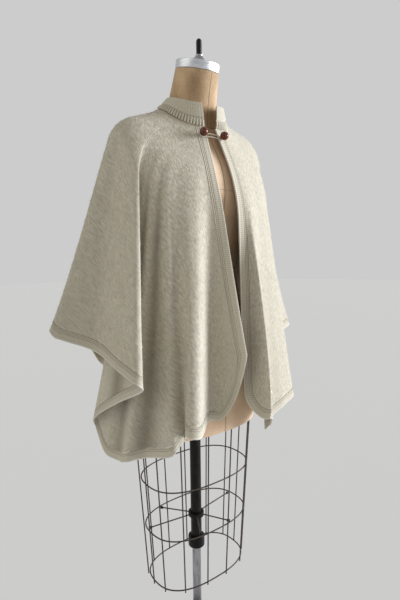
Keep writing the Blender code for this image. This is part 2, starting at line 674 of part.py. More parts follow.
def stand(black, iron, chrome):
    half = BASE_HEIGHT / 2
    base = [
        (BASE_RADIUS - 0.004, 0.0),
        (BASE_RADIUS, 0.004),
        (BASE_RADIUS, half),
        (BASE_RADIUS - 0.030, BASE_HEIGHT),
        (BOSS_RADIUS + 0.030, BASE_HEIGHT + 0.010),
        (BOSS_RADIUS, BASE_HEIGHT + 0.030),
        (BOSS_RADIUS - 0.004, BOSS_HEIGHT),
    ]
    lathe("base", base, 40, iron)
    pole_bottom = BOSS_HEIGHT + GAP
    pole_top = at_rise(POLE_TOP_RISE)
    pole = [
        (POLE_RADIUS, pole_bottom),
        (POLE_RADIUS, pole_top - 0.001),
        (POLE_RADIUS - 0.001, pole_top),
    ]
    lathe("pole_lower", pole, 32, chrome)
    end = at_rise(TUBE_END_RISE)
    tube_top = at_rise(0) - FLANGE_HEIGHT - 2 * GAP
    tube = [
        (TUBE_RADIUS, end),
        (TUBE_RADIUS, tube_top),
        (TUBE_BORE, tube_top),
        (TUBE_BORE, end),
    ]
    lathe("tube_upper", tube, 32, black, hollow=True)
    flange_base = at_rise(0) - FLANGE_HEIGHT - GAP
    flange = [
        (FLANGE_RADIUS, flange_base),
        (FLANGE_RADIUS, flange_base + FLANGE_HEIGHT),
    ]
    lathe("underside_flange", flange, 28, black)
    lock_top = end - GAP
    lock_base = lock_top - LOCK_HEIGHT
    lock = [
        (LOCK_RADIUS - 0.0015, lock_base),
        (LOCK_RADIUS, lock_base + 0.0015),
        (LOCK_RADIUS, lock_top - 0.0015),
        (LOCK_RADIUS - 0.0015, lock_top),
        (LOCK_BORE, lock_top),
        (LOCK_BORE, lock_base),
    ]
    lathe("lock_collar", lock, 32, black, hollow=True)
    middle = (lock_top + lock_base) / 2
    turn = math.radians(SCREW_TURN)
    way = np.array([math.sin(turn), math.cos(turn), 0.0])
    start = np.array([0, 0, middle]) + way * (LOCK_RADIUS + GAP)
    tube_along("lock_screw", [start, start + way * SCREW_LENGTH], SCREW_RADIUS, 10, chrome)
    start = start + way * (SCREW_LENGTH + GAP)
    tube_along("lock_knob", [start, start + way * KNOB_HEIGHT], KNOB_RADIUS, 14, black)


def cage_point(turn, share, outset, rise):
    x, y = oval(
        RING_HALF_WIDTH * share + outset,
        RING_HALF_DEPTH * share + outset,
        RING_HALF_DEPTH * share + outset,
        RING_SQUARENESS,
        turn,
    )
    return x, y, at_rise(rise)


def cage(wire, black):
    for number, (rise, share) in enumerate(zip(RING_RISES, RING_SHARES), 1):
        turns = [2 * math.pi * i / 36 for i in range(36)]
        path = [cage_point(turn, share, 0.0, rise) for turn in turns]
        tube_along("cage_ring_%d" % number, path, WIRE_RADIUS, 5, wire, closed=True)
    outset = 2 * WIRE_RADIUS + 2 * GAP
    slope = (RING_SHARES[2] - RING_SHARES[0]) / (RING_RISES[2] - RING_RISES[0])
    for number in range(UPRIGHTS):
        turn = 2 * math.pi * (number + 0.5) / UPRIGHTS
        ends = []
        for rise in (-2 * GAP, RING_RISES[2] - 0.004):
            share = RING_SHARES[0] + slope * (rise - RING_RISES[0])
            ends.append(cage_point(turn, share, outset, rise))
        tube_along("cage_wire_%02d" % (number + 1), ends, WIRE_RADIUS, 6, wire, up=(1, 0.3, 0))
    hub_rise = RING_RISES[1]
    hub = [
        (SPOKE_HUB_RADIUS, at_rise(hub_rise) - SPOKE_HUB_HEIGHT / 2),
        (SPOKE_HUB_RADIUS, at_rise(hub_rise) + SPOKE_HUB_HEIGHT / 2),
        (TUBE_RADIUS + GAP, at_rise(hub_rise) + SPOKE_HUB_HEIGHT / 2),
        (TUBE_RADIUS + GAP, at_rise(hub_rise) - SPOKE_HUB_HEIGHT / 2),
    ]
    lathe("cage_hub", hub, 28, black, hollow=True)
    for number, degrees in enumerate(SPOKE_TURNS, 1):
        turn = math.radians(degrees)
        outer = np.array(cage_point(turn, RING_SHARES[1], -WIRE_RADIUS - NUT_CLEAR, hub_rise))
        way = outer - np.array([0, 0, at_rise(hub_rise)])
        way = way / np.linalg.norm(way)
        inner = np.array([0, 0, at_rise(hub_rise)]) + way * (SPOKE_HUB_RADIUS + GAP)
        nut = outer - way * NUT_LENGTH
        tube_along("cage_nut_%d" % number, [nut, outer], NUT_RADIUS, 6, black)
        tube_along("cage_spoke_%d" % number, [inner, nut - way * GAP], WIRE_RADIUS, 6, wire)


def ball(name, centre, radius, finish, rings=10, sides=18):
    points = [(centre[0], centre[1], centre[2] - radius)]
    for k in range(1, rings):
        lift = math.pi * k / rings
        for i in range(sides):
            turn = 2 * math.pi * i / sides
            points.append((
                centre[0] + radius * math.sin(lift) * math.cos(turn),
                centre[1] + radius * math.sin(lift) * math.sin(turn),
                centre[2] - radius * math.cos(lift),
            ))
    points.append((centre[0], centre[1], centre[2] + radius))
    faces = []
    last = len(points) - 1
    for i in range(sides):
        j = (i + 1) % sides
        faces.append((0, 1 + j, 1 + i))
        faces.append((last, last - sides + i, last - sides + j))
        for k in range(rings - 2):
            a = 1 + k * sides
            faces.append((a + i, a + j, a + sides + j, a + sides + i))
    thing = new_object(name, mesh_of(name, points, faces), finish)
    thing.data.shade_smooth()


def on_cloth(inset, down, left, out):
    """A point this far in from a front edge and this far out from the cloth, with the way out."""
    turn = turn_in_from_edge(inset, down, left)
    way = out_of_cape(turn, down)
    return cape_point(turn, down) + way * out, way


def buttons(glossy, cord):
    """Two ball buttons on short shanks, and one cord loop laid round both shanks across the opening."""
    seats, ways = [], []
    for side, left in (("right", False), ("left", True)):
        seat, way = on_cloth(BUTTON_INSET["left" if left else "right"], BUTTON_DOWN, left, BAND_RAISED + GAP)
        end = seat + way * SHANK_LENGTH
        tube_along("button_shank_" + side, [seat, end], SHANK_RADIUS, 8, cord)
        ball("button_" + side, end + way * (BALL_RADIUS + GAP), BALL_RADIUS, glossy)
        seats.append(seat + way * LOOP_HEIGHT)
        ways.append(way)
    across = (seats[1] - seats[0]) / np.linalg.norm(seats[1] - seats[0])
    reach = SHANK_RADIUS + LOOP_RADIUS + 2 * GAP
    path = []
    for centre, way, outward in ((seats[0], ways[0], -1), (seats[1], ways[1], 1)):
        aside = across - way * np.dot(across, way)
        aside = aside / np.linalg.norm(aside)
        upward = np.cross(way, aside) * outward
        for i in range(9):
            turn = math.pi * (i / 8 - 0.5)
            path.append(centre + reach * (math.cos(turn) * outward * aside + math.sin(turn) * upward))
        other = seats[1] if outward < 0 else seats[0]
        side_way = upward
        for i in range(1, 8):
            share = i / 8
            middle_way = ways[0] + ways[1]
            middle_way = middle_way / np.linalg.norm(middle_way)
            bulge = 4 * LOOP_BULGE * share * (1 - share)
            path.append(centre + (other - centre) * share + side_way * reach + middle_way * bulge)
    tube_along("button_loop", path, LOOP_RADIUS, 6, cord, closed=True, up=ways[0] + ways[1])


def main():
    clear_scene()
    wool = material("wool_knit", (0.62, 0.59, 0.50), 0.9)
    wool_band = material("wool_band", (0.60, 0.57, 0.48), 0.9)
    linen = material("linen", (0.62, 0.42, 0.27), 0.85)
    aluminium = material("aluminium_satin", (0.72, 0.72, 0.72), 0.3, 1.0)
    black = material("black_enamel", (0.012, 0.012, 0.014), 0.3)
    iron = material("black_iron", (0.02, 0.02, 0.022), 0.45)
    chrome = material("chrome_pole", (0.75, 0.75, 0.77), 0.12, 1.0)
    wire = material("wire_brown", (0.045, 0.03, 0.024), 0.5)
    glossy = material("button_brown", (0.16, 0.035, 0.012), 0.12)
    cord = material("cord_cream", (0.68, 0.63, 0.50), 0.8)
    front_panel("front_right", False, wool)
    front_panel("front_left", True, wool)
    back_panel("back", wool)
    front_band("band_right", False, wool_band)
    front_band("band_left", True, wool_band)
    back_band("band_back", wool_band)
    collar(wool_band)
    torso(linen)
    top_hardware(aluminium, black)
    stand(black, iron, chrome)
    cage(wire, black)
    buttons(glossy, cord)


main()
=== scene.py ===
# %% [markdown]
# # A brushed wool cape on a dress form
#
# The cape is one loose sheet of brushed, hairy knit cloth: two fronts and a back, a ribbed stand collar,
# knitted edge bands, and two ball buttons that a cord loop holds together. It hangs from the shoulders of a
# dress form, whose wire cage stands in for a skirt, on a telescoping stand.
#
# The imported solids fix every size. This script dresses them: it works the cloth out again on a much finer
# grid, from the same table of folds, and gives every piece its finish.

# %% Load the frame
import math
from collections import namedtuple

import bpy
import numpy as np
from mathutils import Matrix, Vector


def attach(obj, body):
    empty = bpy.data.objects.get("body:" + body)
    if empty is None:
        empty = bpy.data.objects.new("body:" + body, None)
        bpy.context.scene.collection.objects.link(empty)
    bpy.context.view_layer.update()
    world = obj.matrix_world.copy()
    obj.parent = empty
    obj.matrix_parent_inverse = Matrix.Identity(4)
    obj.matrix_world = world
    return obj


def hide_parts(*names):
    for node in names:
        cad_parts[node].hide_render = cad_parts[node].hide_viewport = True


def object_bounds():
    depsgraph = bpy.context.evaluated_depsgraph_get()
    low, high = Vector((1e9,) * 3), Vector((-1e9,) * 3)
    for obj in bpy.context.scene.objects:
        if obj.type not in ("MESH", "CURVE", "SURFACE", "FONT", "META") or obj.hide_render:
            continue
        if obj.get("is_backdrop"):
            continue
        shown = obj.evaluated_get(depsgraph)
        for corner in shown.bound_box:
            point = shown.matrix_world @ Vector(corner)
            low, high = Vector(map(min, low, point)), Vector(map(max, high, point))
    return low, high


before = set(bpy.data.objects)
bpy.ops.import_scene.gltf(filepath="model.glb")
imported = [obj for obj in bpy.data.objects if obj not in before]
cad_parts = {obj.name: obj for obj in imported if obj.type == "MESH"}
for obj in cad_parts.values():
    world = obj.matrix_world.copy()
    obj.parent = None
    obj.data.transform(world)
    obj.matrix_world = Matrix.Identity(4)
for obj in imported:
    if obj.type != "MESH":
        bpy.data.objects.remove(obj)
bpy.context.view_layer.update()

# %% [markdown]
# ## Camera
#
# The photograph was taken a little above the bust, 37 degrees round to the wearer's right, from just over a
# metre away. Such a short distance makes the near shoulder large, so the lens has to be wide as well.

# %% Camera
TORSO_UNDERSIDE = 0.72
CAMERA_HEADING = 0.6517
CAMERA_PITCH = 0.1243
CAMERA_ROLL = -0.012
CAMERA_PLACE = (-0.6737, -0.9119, TORSO_UNDERSIDE + 0.4541)
CAMERA_LENS, SENSOR_WIDTH = 26.87, 36.0


def camera_axes(heading, pitch, roll):
    """Right, up and ahead of a camera that looks along +Y, turned by heading, tipped down by pitch, then
    rolled about its line of sight."""
    ahead = np.array([
        math.sin(heading) * math.cos(pitch),
        math.cos(heading) * math.cos(pitch),
        -math.sin(pitch),
    ])
    level = np.array([math.cos(heading), -math.sin(heading), 0.0])
    above = np.cross(level, ahead)
    right = math.cos(roll) * level + math.sin(roll) * above
    up = math.cos(roll) * above - math.sin(roll) * level
    return right, up, ahead


camera_data = bpy.data.cameras.new("camera")
camera_data.lens = CAMERA_LENS
camera_data.sensor_width = SENSOR_WIDTH
camera = bpy.data.objects.new("camera", camera_data)
bpy.context.scene.collection.objects.link(camera)
right, up, ahead = camera_axes(CAMERA_HEADING, CAMERA_PITCH, CAMERA_ROLL)
camera.matrix_world = Matrix((
    (right[0], up[0], -ahead[0], CAMERA_PLACE[0]),
    (right[1], up[1], -ahead[1], CAMERA_PLACE[1]),
    (right[2], up[2], -ahead[2], CAMERA_PLACE[2]),
    (0, 0, 0, 1),
))
bpy.context.scene.camera = camera
print("camera looks along", np.round(ahead, 3))

# %% [markdown]
# ## Shader maths in Python
#
# A finish is a tree of nodes. Written as expressions it stays readable, so one small class wraps an output
# socket: a sum or a product of two of them adds the Math node, and `node` adds any other kind.

# %% One class for shader maths


class Wire:
    """An output socket of a material's node tree, or the tree itself before the first node."""

    def __init__(self, tree, socket=None):
        self.tree = tree
        self.socket = socket

    def node(self, kind, settings=None, inputs=None, output=0):
        """Adds a node of this kind: its settings first, then the values or links of its sockets."""
        made = self.tree.nodes.new(kind)
        for name, value in (settings or {}).items():
            setattr(made, name, value)
        for name, value in (inputs or {}).items():
            if isinstance(value, Wire):
                self.tree.links.new(value.socket, made.inputs[name])
            else:
                made.inputs[name].default_value = value
        return Wire(self.tree, made.outputs[output])

    def maths(self, operation, *values):
        """A Math node on these values only, each a number or a Wire."""
        return self.node("ShaderNodeMath", {"operation": operation}, dict(enumerate(values)))

    def absolute(self):
        return self.maths("ABSOLUTE", self)

    def sine(self):
        return self.maths("SINE", self)

    def larger(self, other):
        return self.maths("MAXIMUM", self, other)

    def __add__(self, other):
        return self.maths("ADD", self, other)

    def __radd__(self, other):
        return self.maths("ADD", other, self)

    def __sub__(self, other):
        return self.maths("SUBTRACT", self, other)

    def __rsub__(self, other):
        return self.maths("SUBTRACT", other, self)

    def __mul__(self, other):
        return self.maths("MULTIPLY", self, other)

    def __rmul__(self, other):
        return self.maths("MULTIPLY", other, self)

    def smooth(self, low, high):
        """0 below low, 1 above high, and an S-curve between them; with low above high it falls instead."""
        settings = {"interpolation_type": "SMOOTHSTEP"}
        if low < high:
            inputs = {"Value": self, "From Min": low, "From Max": high}
        else:
            inputs = {"Value": self, "From Min": high, "From Max": low, "To Min": 1.0, "To Max": 0.0}
        return self.node("ShaderNodeMapRange", settings, inputs)

    def mark(self, name):
        """The vector that the piece's points hold under this name."""
        return self.node("ShaderNodeAttribute", {"attribute_name": name}, output=1)

    def spot(self):
        """Object coordinates, which are metres in the frame, since every piece sits at the origin."""
        return self.node("ShaderNodeTexCoord", output=3)

    def part(self, axis):
        """One coordinate of a vector, by its letter."""
        return self.node("ShaderNodeSeparateXYZ", {}, {0: self}, "XYZ".index(axis))

    def stretched(self, sizes):
        """A vector whose units are these sizes, in metres, so that noise of scale 1 has grains of that size
        each way: the vector times 1 / size."""
        scale = tuple(1.0 / size for size in sizes)
        return self.node("ShaderNodeVectorMath", {"operation": "MULTIPLY"}, {0: self, 1: scale})

    def noise(self, detail=2.0, roughness=0.5):
        """Smooth random values about 0.5, one grain to each unit of the vector."""
        inputs = {"Vector": self, "Scale": 1.0, "Detail": detail, "Roughness": roughness}
        return self.node("ShaderNodeTexNoise", {}, inputs)

    def mix(self, first, second):
        """Mixes two colours, self being the share of the second."""
        settings = {"data_type": "RGBA"}
        colours = {6: first, 7: second}
        colours = {n: c if isinstance(c, Wire) else (*c, 1.0) for n, c in colours.items()}
        return self.node("ShaderNodeMix", settings, {0: self, **colours}, 2)


def finish_of(name, fixed):
    """A new material: its Principled shader with fixed values, and the Wire that starts its expressions."""
    made = bpy.data.materials.new(name)
    made.use_nodes = True
    shader = made.node_tree.nodes["Principled BSDF"]
    for socket, value in fixed.items():
        shader.inputs[socket].default_value = value
    return made, shader, Wire(made.node_tree)


def feed(shader, socket, wire):
    """Joins an expression to one socket of a shader."""
    wire.tree.links.new(wire.socket, shader.inputs[socket])


def bump(height, distance):
    """Turns a height from 0 to 1 into a normal, for a relief this many metres deep."""
    return height.node("ShaderNodeBump", {}, {"Strength": 1.0, "Distance": distance, "Height": height})


print("shader maths is ready")

# %% [markdown]
# ## From arrays to meshes
#
# Every new piece is worked out as whole arrays of points. One function turns arrays into a mesh; a second
# closes a sheet of cloth into a thin wall, with an outer face, an inner face and a rim between them.

# %% Meshes from arrays


def new_piece(name, points, faces, finish, sharp=None):
    """A mesh object from an array of points and a list of face arrays, triangles and quads apart."""
    points = np.asarray(points, np.float32)
    mesh = bpy.data.meshes.new(name)
    corners = np.concatenate([np.asarray(f, np.int32).ravel() for f in faces])
    sizes = np.concatenate([np.full(len(f), np.shape(f)[1]) for f in faces])
    mesh.vertices.add(len(points))
    mesh.vertices.foreach_set("co", points.ravel())
    mesh.loops.add(len(corners))
    mesh.loops.foreach_set("vertex_index", corners)
    mesh.polygons.add(len(sizes))
    mesh.polygons.foreach_set("loop_start", np.concatenate([[0], np.cumsum(sizes)[:-1]]).astype(np.int32))
    mesh.update(calc_edges=True)
    mesh.validate()
    mesh.shade_smooth()
    if sharp is not None:
        mesh.set_sharp_from_angle(angle=math.radians(sharp))
    mesh.materials.append(finish)
    thing = bpy.data.objects.new(name, mesh)
    bpy.context.scene.collection.objects.link(thing)
    return thing


def joined(x, y, z=0.0):
    """Three coordinates, each an array or one number, as an array of points or vectors."""
    return np.stack(np.broadcast_arrays(x, y, z), axis=-1)


def ring_angles(columns):
    """Evenly spread angles, from +X towards +Y, one for each point of a ring."""
    return 2 * math.pi * np.arange(columns) / columns


def mark(thing, name, values):
    """Stores a vector for each point, which the materials read by this name."""
    values = np.asarray(values, np.float32).reshape(-1, 3)
    store = thing.data.attributes.new(name, "FLOAT_VECTOR", "POINT")
    store.data.foreach_set("vector", values.ravel())


def unit(vectors):
    """Vectors of length 1: each is divided by its own length."""
    return vectors / np.maximum(np.linalg.norm(vectors, axis=-1, keepdims=True), 1e-12)


def quads(number):
    """The quads of a grid of point numbers, facing along (first axis) x (second axis)."""
    a, d = number[:-1, :-1], number[1:, :-1]
    c, b = number[1:, 1:], number[:-1, 1:]
    return np.stack([a, d, c, b], axis=-1).reshape(-1, 4)


def lengths_along(grid, axis):
    """Distance run along one axis of a grid of points, from 0."""
    steps = np.linalg.norm(np.diff(grid, axis=axis), axis=-1)
    start = np.zeros_like(np.take(steps, [0], axis=axis))
    return np.concatenate([start, np.cumsum(steps, axis=axis)], axis=axis)


INNER_SHIFT = (0.5, 0.5, 0)


def wall(name, outer, inner, finish, centre=0):
    """A closed wall between two grids, whose first axis goes round the wearer and whose second goes down. Its
    points know their place in the cloth: metres round it from column centre, and metres down it."""
    rows, columns = outer.shape[:2]
    number = np.arange(rows * columns).reshape(rows, columns)
    under = rows * columns
    rim = np.concatenate([number[:, 0], number[-1, 1:], number[-2::-1, -1], number[0, -2:0:-1]])
    after = np.roll(rim, -1)
    sides = np.stack([after, rim, rim + under, after + under], axis=-1)
    faces = [np.concatenate([quads(number), quads(number)[:, ::-1] + under, sides])]
    points = np.concatenate([outer.reshape(-1, 3), inner.reshape(-1, 3)])
    thing = new_piece(name, points, faces, finish, sharp=60)
    round_it = lengths_along(outer, 0)
    round_it = round_it - round_it[centre]
    place = joined(round_it, lengths_along(outer, 1))
    mark(thing, "cloth", np.concatenate([place, place + INNER_SHIFT]))
    return thing


def cloth_area(grid):
    """The area of each cell of a grid of points: half the cross product of its diagonals."""
    across = grid[1:, 1:] - grid[:-1, :-1]
    down = grid[1:, :-1] - grid[:-1, 1:]
    return 0.5 * np.linalg.norm(np.cross(across, down), axis=-1)


print("mesh helpers are ready")

# %% [markdown]
# ## The fall of the cape
#
# Cloth that hangs free is nearly straight from where it leaves the shoulders to its hem, so the hem's line
# in plan decides every fold. The table gives that line, a row for each ridge, valley and turn. It could be
# simulated instead, but a simulation would hardly find the very folds that the photograph shows.

# %% Tables of the folds and the neckline
GAP = 0.0003
CLOTH = 0.0025
BAND_WIDTH = 0.022
BAND_SEAM = 0.0012
BAND_RAISED = 0.0006
GROOVES = (0.0152, 0.0192)

# Neckline of the cape, where the collar is sewn on
NECK_HALF_WIDTH = 0.0835
NECK_HALF_DEPTH = 0.0795
NECK_CENTRE_Y = -0.0072

# Yoke line, where the cloth leaves the shoulders, the bust and the shoulder blades and starts to hang
YOKE_HALF_WIDTH = 0.201
YOKE_CENTRE_X = -0.005
YOKE_FRONT = 0.146
YOKE_BACK = 0.138
YOKE_FRONT_RISE = 0.580
YOKE_BACK_RISE = 0.640
YOKE_SIDE_RISE = 0.722
YOKE_CREST_POWER = 4.0
YOKE_ROUNDING = 0.075
YOKE_ROUNDING_SHARE = 0.8
SHOULDER_SQUARE = 0.4

# Rounded lower corners of the two fronts
CORNER_ACROSS = {"right": 0.112, "left": 0.090}
CORNER_UP = {"right": 0.168, "left": 0.092}
CORNER_FLATNESS = {"right": 1.65, "left": 1.2}

Fold = namedtuple("Fold", "name neck yoke x y rise lag late", defaults=(0.0,))

# One row for each ridge, valley and turn of the hem, from the right front edge round the back to the left
# front edge. neck and yoke are degrees round from the front towards the wearer's right. x, y and rise
# place the hem. lag holds the cloth in on its way down, so that it flares late; late starts the fold itself
# lower down.
FOLDS = [
    Fold("right_edge", 16, 8, 0.021, -0.232, 0.043, 0.5),
    Fold("right_corner", 19.2, 12, -0.007, -0.176, 0.036, 0.4, 0.1),
    Fold("right_front", 22.5, 16, -0.039, -0.122, 0.042, 0.2, 0.3),
    Fold("flute_ridge", 29.6, 24.5, -0.151, -0.218, 0.059, 0.5, 0.5),
    Fold("flute_face", 33, 28.5, -0.169, -0.208, 0.062, 0.5, 0.5),
    Fold("flute_round", 36.4, 32.5, -0.156, -0.178, 0.061, 0.4, 0.5),
    Fold("flute_valley", 40.3, 37, -0.138, -0.152, 0.034, 0.2, 0.5),
    Fold("flute_hollow", 43, 40, -0.153, -0.153, 0.022, 0.1, 0.5),
    Fold("right_panel", 45.6, 43, -0.174, -0.152, 0.004, 0.1, 0.4),
    Fold("right_ridge", 49.2, 47, -0.199, -0.080, -0.019, 0.1, 0.3),
    Fold("right_side", 52.4, 50.5, -0.236, -0.062, -0.024, 0.1, 0.2),
    Fold("right_pocket", 55.1, 53.5, -0.228, -0.004, -0.045, 0.1),
    Fold("right_inner", 57.4, 56, -0.244, 0.030, -0.034, 0.1),
    Fold("right_turn", 59.2, 58, -0.252, 0.056, 0.020, 0.1),
    Fold("right_turn_round", 60.6, 59.5, -0.262, 0.046, 0.046, 0.1),
    Fold("right_return", 62.5, 61.5, -0.250, -0.050, 0.109, 0.1),
    Fold("right_tip", 64.8, 64, -0.240, -0.152, 0.165, 0.1),
    Fold("right_tip_round", 67.2, 66.5, -0.253, -0.152, 0.177, 0.1),
    Fold("right_wing", 73.3, 73, -0.266, -0.104, 0.195, 0.15),
    Fold("right_wing_side", 81.1, 81, -0.284, -0.024, 0.228, 0.2),
    Fold("right_wing_edge", 85.5, 85.5, -0.337, 0.013, 0.252, 0.2),
    Fold("right_wing_round", 88, 88, -0.353, 0.024, 0.260, 0.2),
    Fold("right_wing_corner", 90.5, 90.5, -0.358, 0.034, 0.273, 0.2),
    Fold("right_wing_fall", 93, 93, -0.330, 0.056, 0.258, 0.2),
    Fold("right_wing_back", 97, 97, -0.262, 0.092, 0.236, 0.2),
    Fold("back_right_tip_round", 103.5, 103.5, -0.186, 0.176, 0.150, 0.1),
    Fold("back_right_tip", 105.5, 105.5, -0.172, 0.172, 0.134, 0.1),
    Fold("back_right_return", 109.5, 109.5, -0.194, 0.116, 0.084, 0.1),
    Fold("back_right_turn_round", 113, 113, -0.212, 0.074, 0.018, 0.1),
    Fold("back_right_turn", 115, 115, -0.203, 0.066, -0.012, 0.1),
    Fold("back_right_inner", 121, 121, -0.150, 0.112, -0.076, 0.1),
    Fold("back_right_ridge", 130, 130, -0.128, 0.192, -0.106, 0.1),
    Fold("back_right_valley", 144, 144, -0.090, 0.170, -0.118, 0.1),
    Fold("back_ridge_1", 160, 160, -0.052, 0.232, -0.122, 0.1),
    Fold("back_valley", 180, 180, 0.003, 0.188, -0.124, 0.1),
    Fold("back_ridge_2", 200, 200, 0.060, 0.230, -0.122, 0.1),
    Fold("back_left_valley", 215, 215, 0.108, 0.170, -0.116, 0.1),
    Fold("back_left_ridge", 229, 229, 0.160, 0.196, -0.106, 0.1),
    Fold("back_left_inner", 239, 239, 0.190, 0.110, -0.072, 0.1),
    Fold("back_left_turn", 246, 246, 0.212, 0.070, -0.016, 0.1),
    Fold("back_left_turn_round", 248, 248, 0.222, 0.078, 0.014, 0.1),
    Fold("back_left_tip", 254, 254, 0.218, 0.166, 0.106, 0.1),
    Fold("back_left_tip_round", 256.5, 256.5, 0.231, 0.174, 0.124, 0.1),
    Fold("left_wing_back", 263, 263, 0.312, 0.092, 0.186, 0.2),
    Fold("left_wing_corner", 270, 270, 0.373, 0.012, 0.205, 0.35),
    Fold("left_wing_side", 278, 278, 0.300, -0.030, 0.198, 0.35),
    Fold("left_tip_round", 285.6, 285.5, 0.262, -0.052, 0.182, 0.1),
    Fold("left_tip", 287.7, 287.5, 0.248, -0.056, 0.170, 0.1),
    Fold("left_turn_round", 292.8, 292.5, 0.252, 0.046, 0.072, 0.1),
    Fold("left_turn", 294.8, 294.5, 0.242, 0.052, 0.052, 0.1),
    Fold("left_pocket", 300.5, 300, 0.206, -0.012, 0.020, 0.1),
    Fold("left_ridge", 307.7, 307, 0.266, -0.104, 0.034, 0.1),
    Fold("left_panel", 317.1, 316, 0.200, -0.134, 0.028, 0.1),
    Fold("left_hollow", 323.4, 322, 0.150, -0.142, 0.016, 0.1),
    Fold("left_valley", 329.7, 328, 0.106, -0.154, -0.008, 0.1),
    Fold("left_round", 335, 333, 0.098, -0.178, 0.010, 0.1),
    Fold("left_turn_flap", 338.2, 336, 0.063, -0.218, 0.044, -0.5),
    Fold("left_flap", 343.6, 341, 0.038, -0.236, 0.060, -1.0),
    Fold("left_corner", 350, 347, 0.034, -0.200, 0.031, 0.3),
    Fold("left_edge", 356, 352.5, 0.026, -0.173, 0.014, 1.2),
]
RIGHT_SEAM = [fold.name for fold in FOLDS].index("right_wing_corner")
LEFT_SEAM = [fold.name for fold in FOLDS].index("left_wing_corner")

# Collar: it starts at the neckline, is drawn towards the second ring, and ends at the third. front, quarter,
# side and back are the heights at 0, 45, 90 and 180 degrees round.
CollarRing = namedtuple(
    "CollarRing", "half_width half_depth centre_y front quarter side back right_end left_end"
)
COLLAR = [
    CollarRing(NECK_HALF_WIDTH, NECK_HALF_DEPTH, NECK_CENTRE_Y, 0.7160, 0.7260, 0.7600, 0.7840, 16.5, 357.0),
    CollarRing(0.0765, 0.0800, -0.0144, 0.7285, 0.7385, 0.7740, 0.7900, 20.0, 354.5),
    CollarRing(0.0665, 0.0690, -0.0180, 0.7660, 0.7720, 0.7890, 0.7990, 25.0, 351.0),
]
HEIGHT_DEGREES = (-45, 0, 45, 90, 180, 270, 315, 360, 405)
print(len(FOLDS), "rows of folds, from", FOLDS[0].name, "to", FOLDS[-1].name)

# %% [markdown]
# Between the rows a cubic curve rounds the folds. From each point of the hem the cloth runs straight up to
# the yoke line, rounds over it by a quadratic curve, and goes on to the neck. Two numbers are then free for
# any point of the cape, how far round and how far down, and every piece of cloth is a grid of them.

# %% Curves through the tables


def through(knots, values, at):
    """A cubic curve through values at knots, with slopes from the neighbours, read at any array of knots."""
    knots = np.asarray(knots, float)
    values = np.asarray(values, float)
    slopes = np.gradient(values, knots, axis=0)
    at = np.asarray(at, float)
    cell = np.clip(np.searchsorted(knots, at, side="right") - 1, 0, len(knots) - 2)
    width = knots[cell + 1] - knots[cell]
    t = (at - knots[cell]) / width
    shape = t.shape + (1,) * (values.ndim - 1)
    t, width = t.reshape(shape), width.reshape(shape)
    before, after = values[cell], values[cell + 1]
    return (
        before * (1 + 2 * t) * (1 - t) ** 2
        + after * t * t * (3 - 2 * t)
        + slopes[cell] * width * t * (1 - t) ** 2
        - slopes[cell + 1] * width * t * t * (1 - t)
    )


HEMS = np.array([(f.x, f.y, f.rise) for f in FOLDS])
LAGS = np.array([f.lag for f in FOLDS])
LATES = np.array([f.late for f in FOLDS])
KNOTS = np.concatenate([[0.0], np.cumsum(np.sqrt(np.linalg.norm(np.diff(HEMS, axis=0), axis=1)))])
HEM_LENGTH = np.linalg.norm(np.diff(HEMS, axis=0), axis=1).sum()
KNOTS = KNOTS / KNOTS[-1]
BELL_REACH = 2.5


def mean_hem(turns, spread_over):
    """The hem with its folds averaged out, by a bell of weights over this many points on each side."""
    hems = through(KNOTS, HEMS, turns)
    bell = np.exp(-0.5 * np.linspace(-BELL_REACH, BELL_REACH, 2 * spread_over + 1) ** 2)
    ends = [np.repeat(hems[:1], spread_over, axis=0), hems, np.repeat(hems[-1:], spread_over, axis=0)]
    padded = np.concatenate(ends)
    return np.stack([np.convolve(padded[:, k], bell / bell.sum(), "valid") for k in range(3)], axis=1)


MEAN_TURNS = np.linspace(0, 1, 401)
MEAN_SPREAD = 30
MEAN_HEM = mean_hem(MEAN_TURNS, MEAN_SPREAD)


def around(degrees):
    """Unit direction in plan: 0 faces the front, 90 the wearer's right, 180 the back."""
    turned = np.radians(degrees)
    return -np.sin(turned), -np.cos(turned)


def ring_point(ring, degrees):
    """A point on one ring of the collar. The lowest ring is the neckline."""
    side, ahead = around(degrees)
    half = (ring.front, ring.quarter, ring.side)
    heights = (ring.quarter, *half, ring.back, *half[::-1], ring.quarter)
    rise = through(HEIGHT_DEGREES, heights, degrees)
    return joined(ring.half_width * side, ring.centre_y + ring.half_depth * ahead, rise)


def yoke_point(degrees):
    """A point of the yoke line: an ellipse in plan, whose rise goes from the front's or the back's up to the
    side's as a power of how far to the side it is."""
    side, ahead = around(degrees)
    crest = np.abs(side) ** YOKE_CREST_POWER
    low = np.where(ahead < 0, YOKE_FRONT_RISE, YOKE_BACK_RISE)
    depth = np.where(ahead < 0, YOKE_FRONT, YOKE_BACK)
    rise = low + (YOKE_SIDE_RISE - low) * crest
    return joined(YOKE_CENTRE_X + YOKE_HALF_WIDTH * side, depth * ahead, rise)


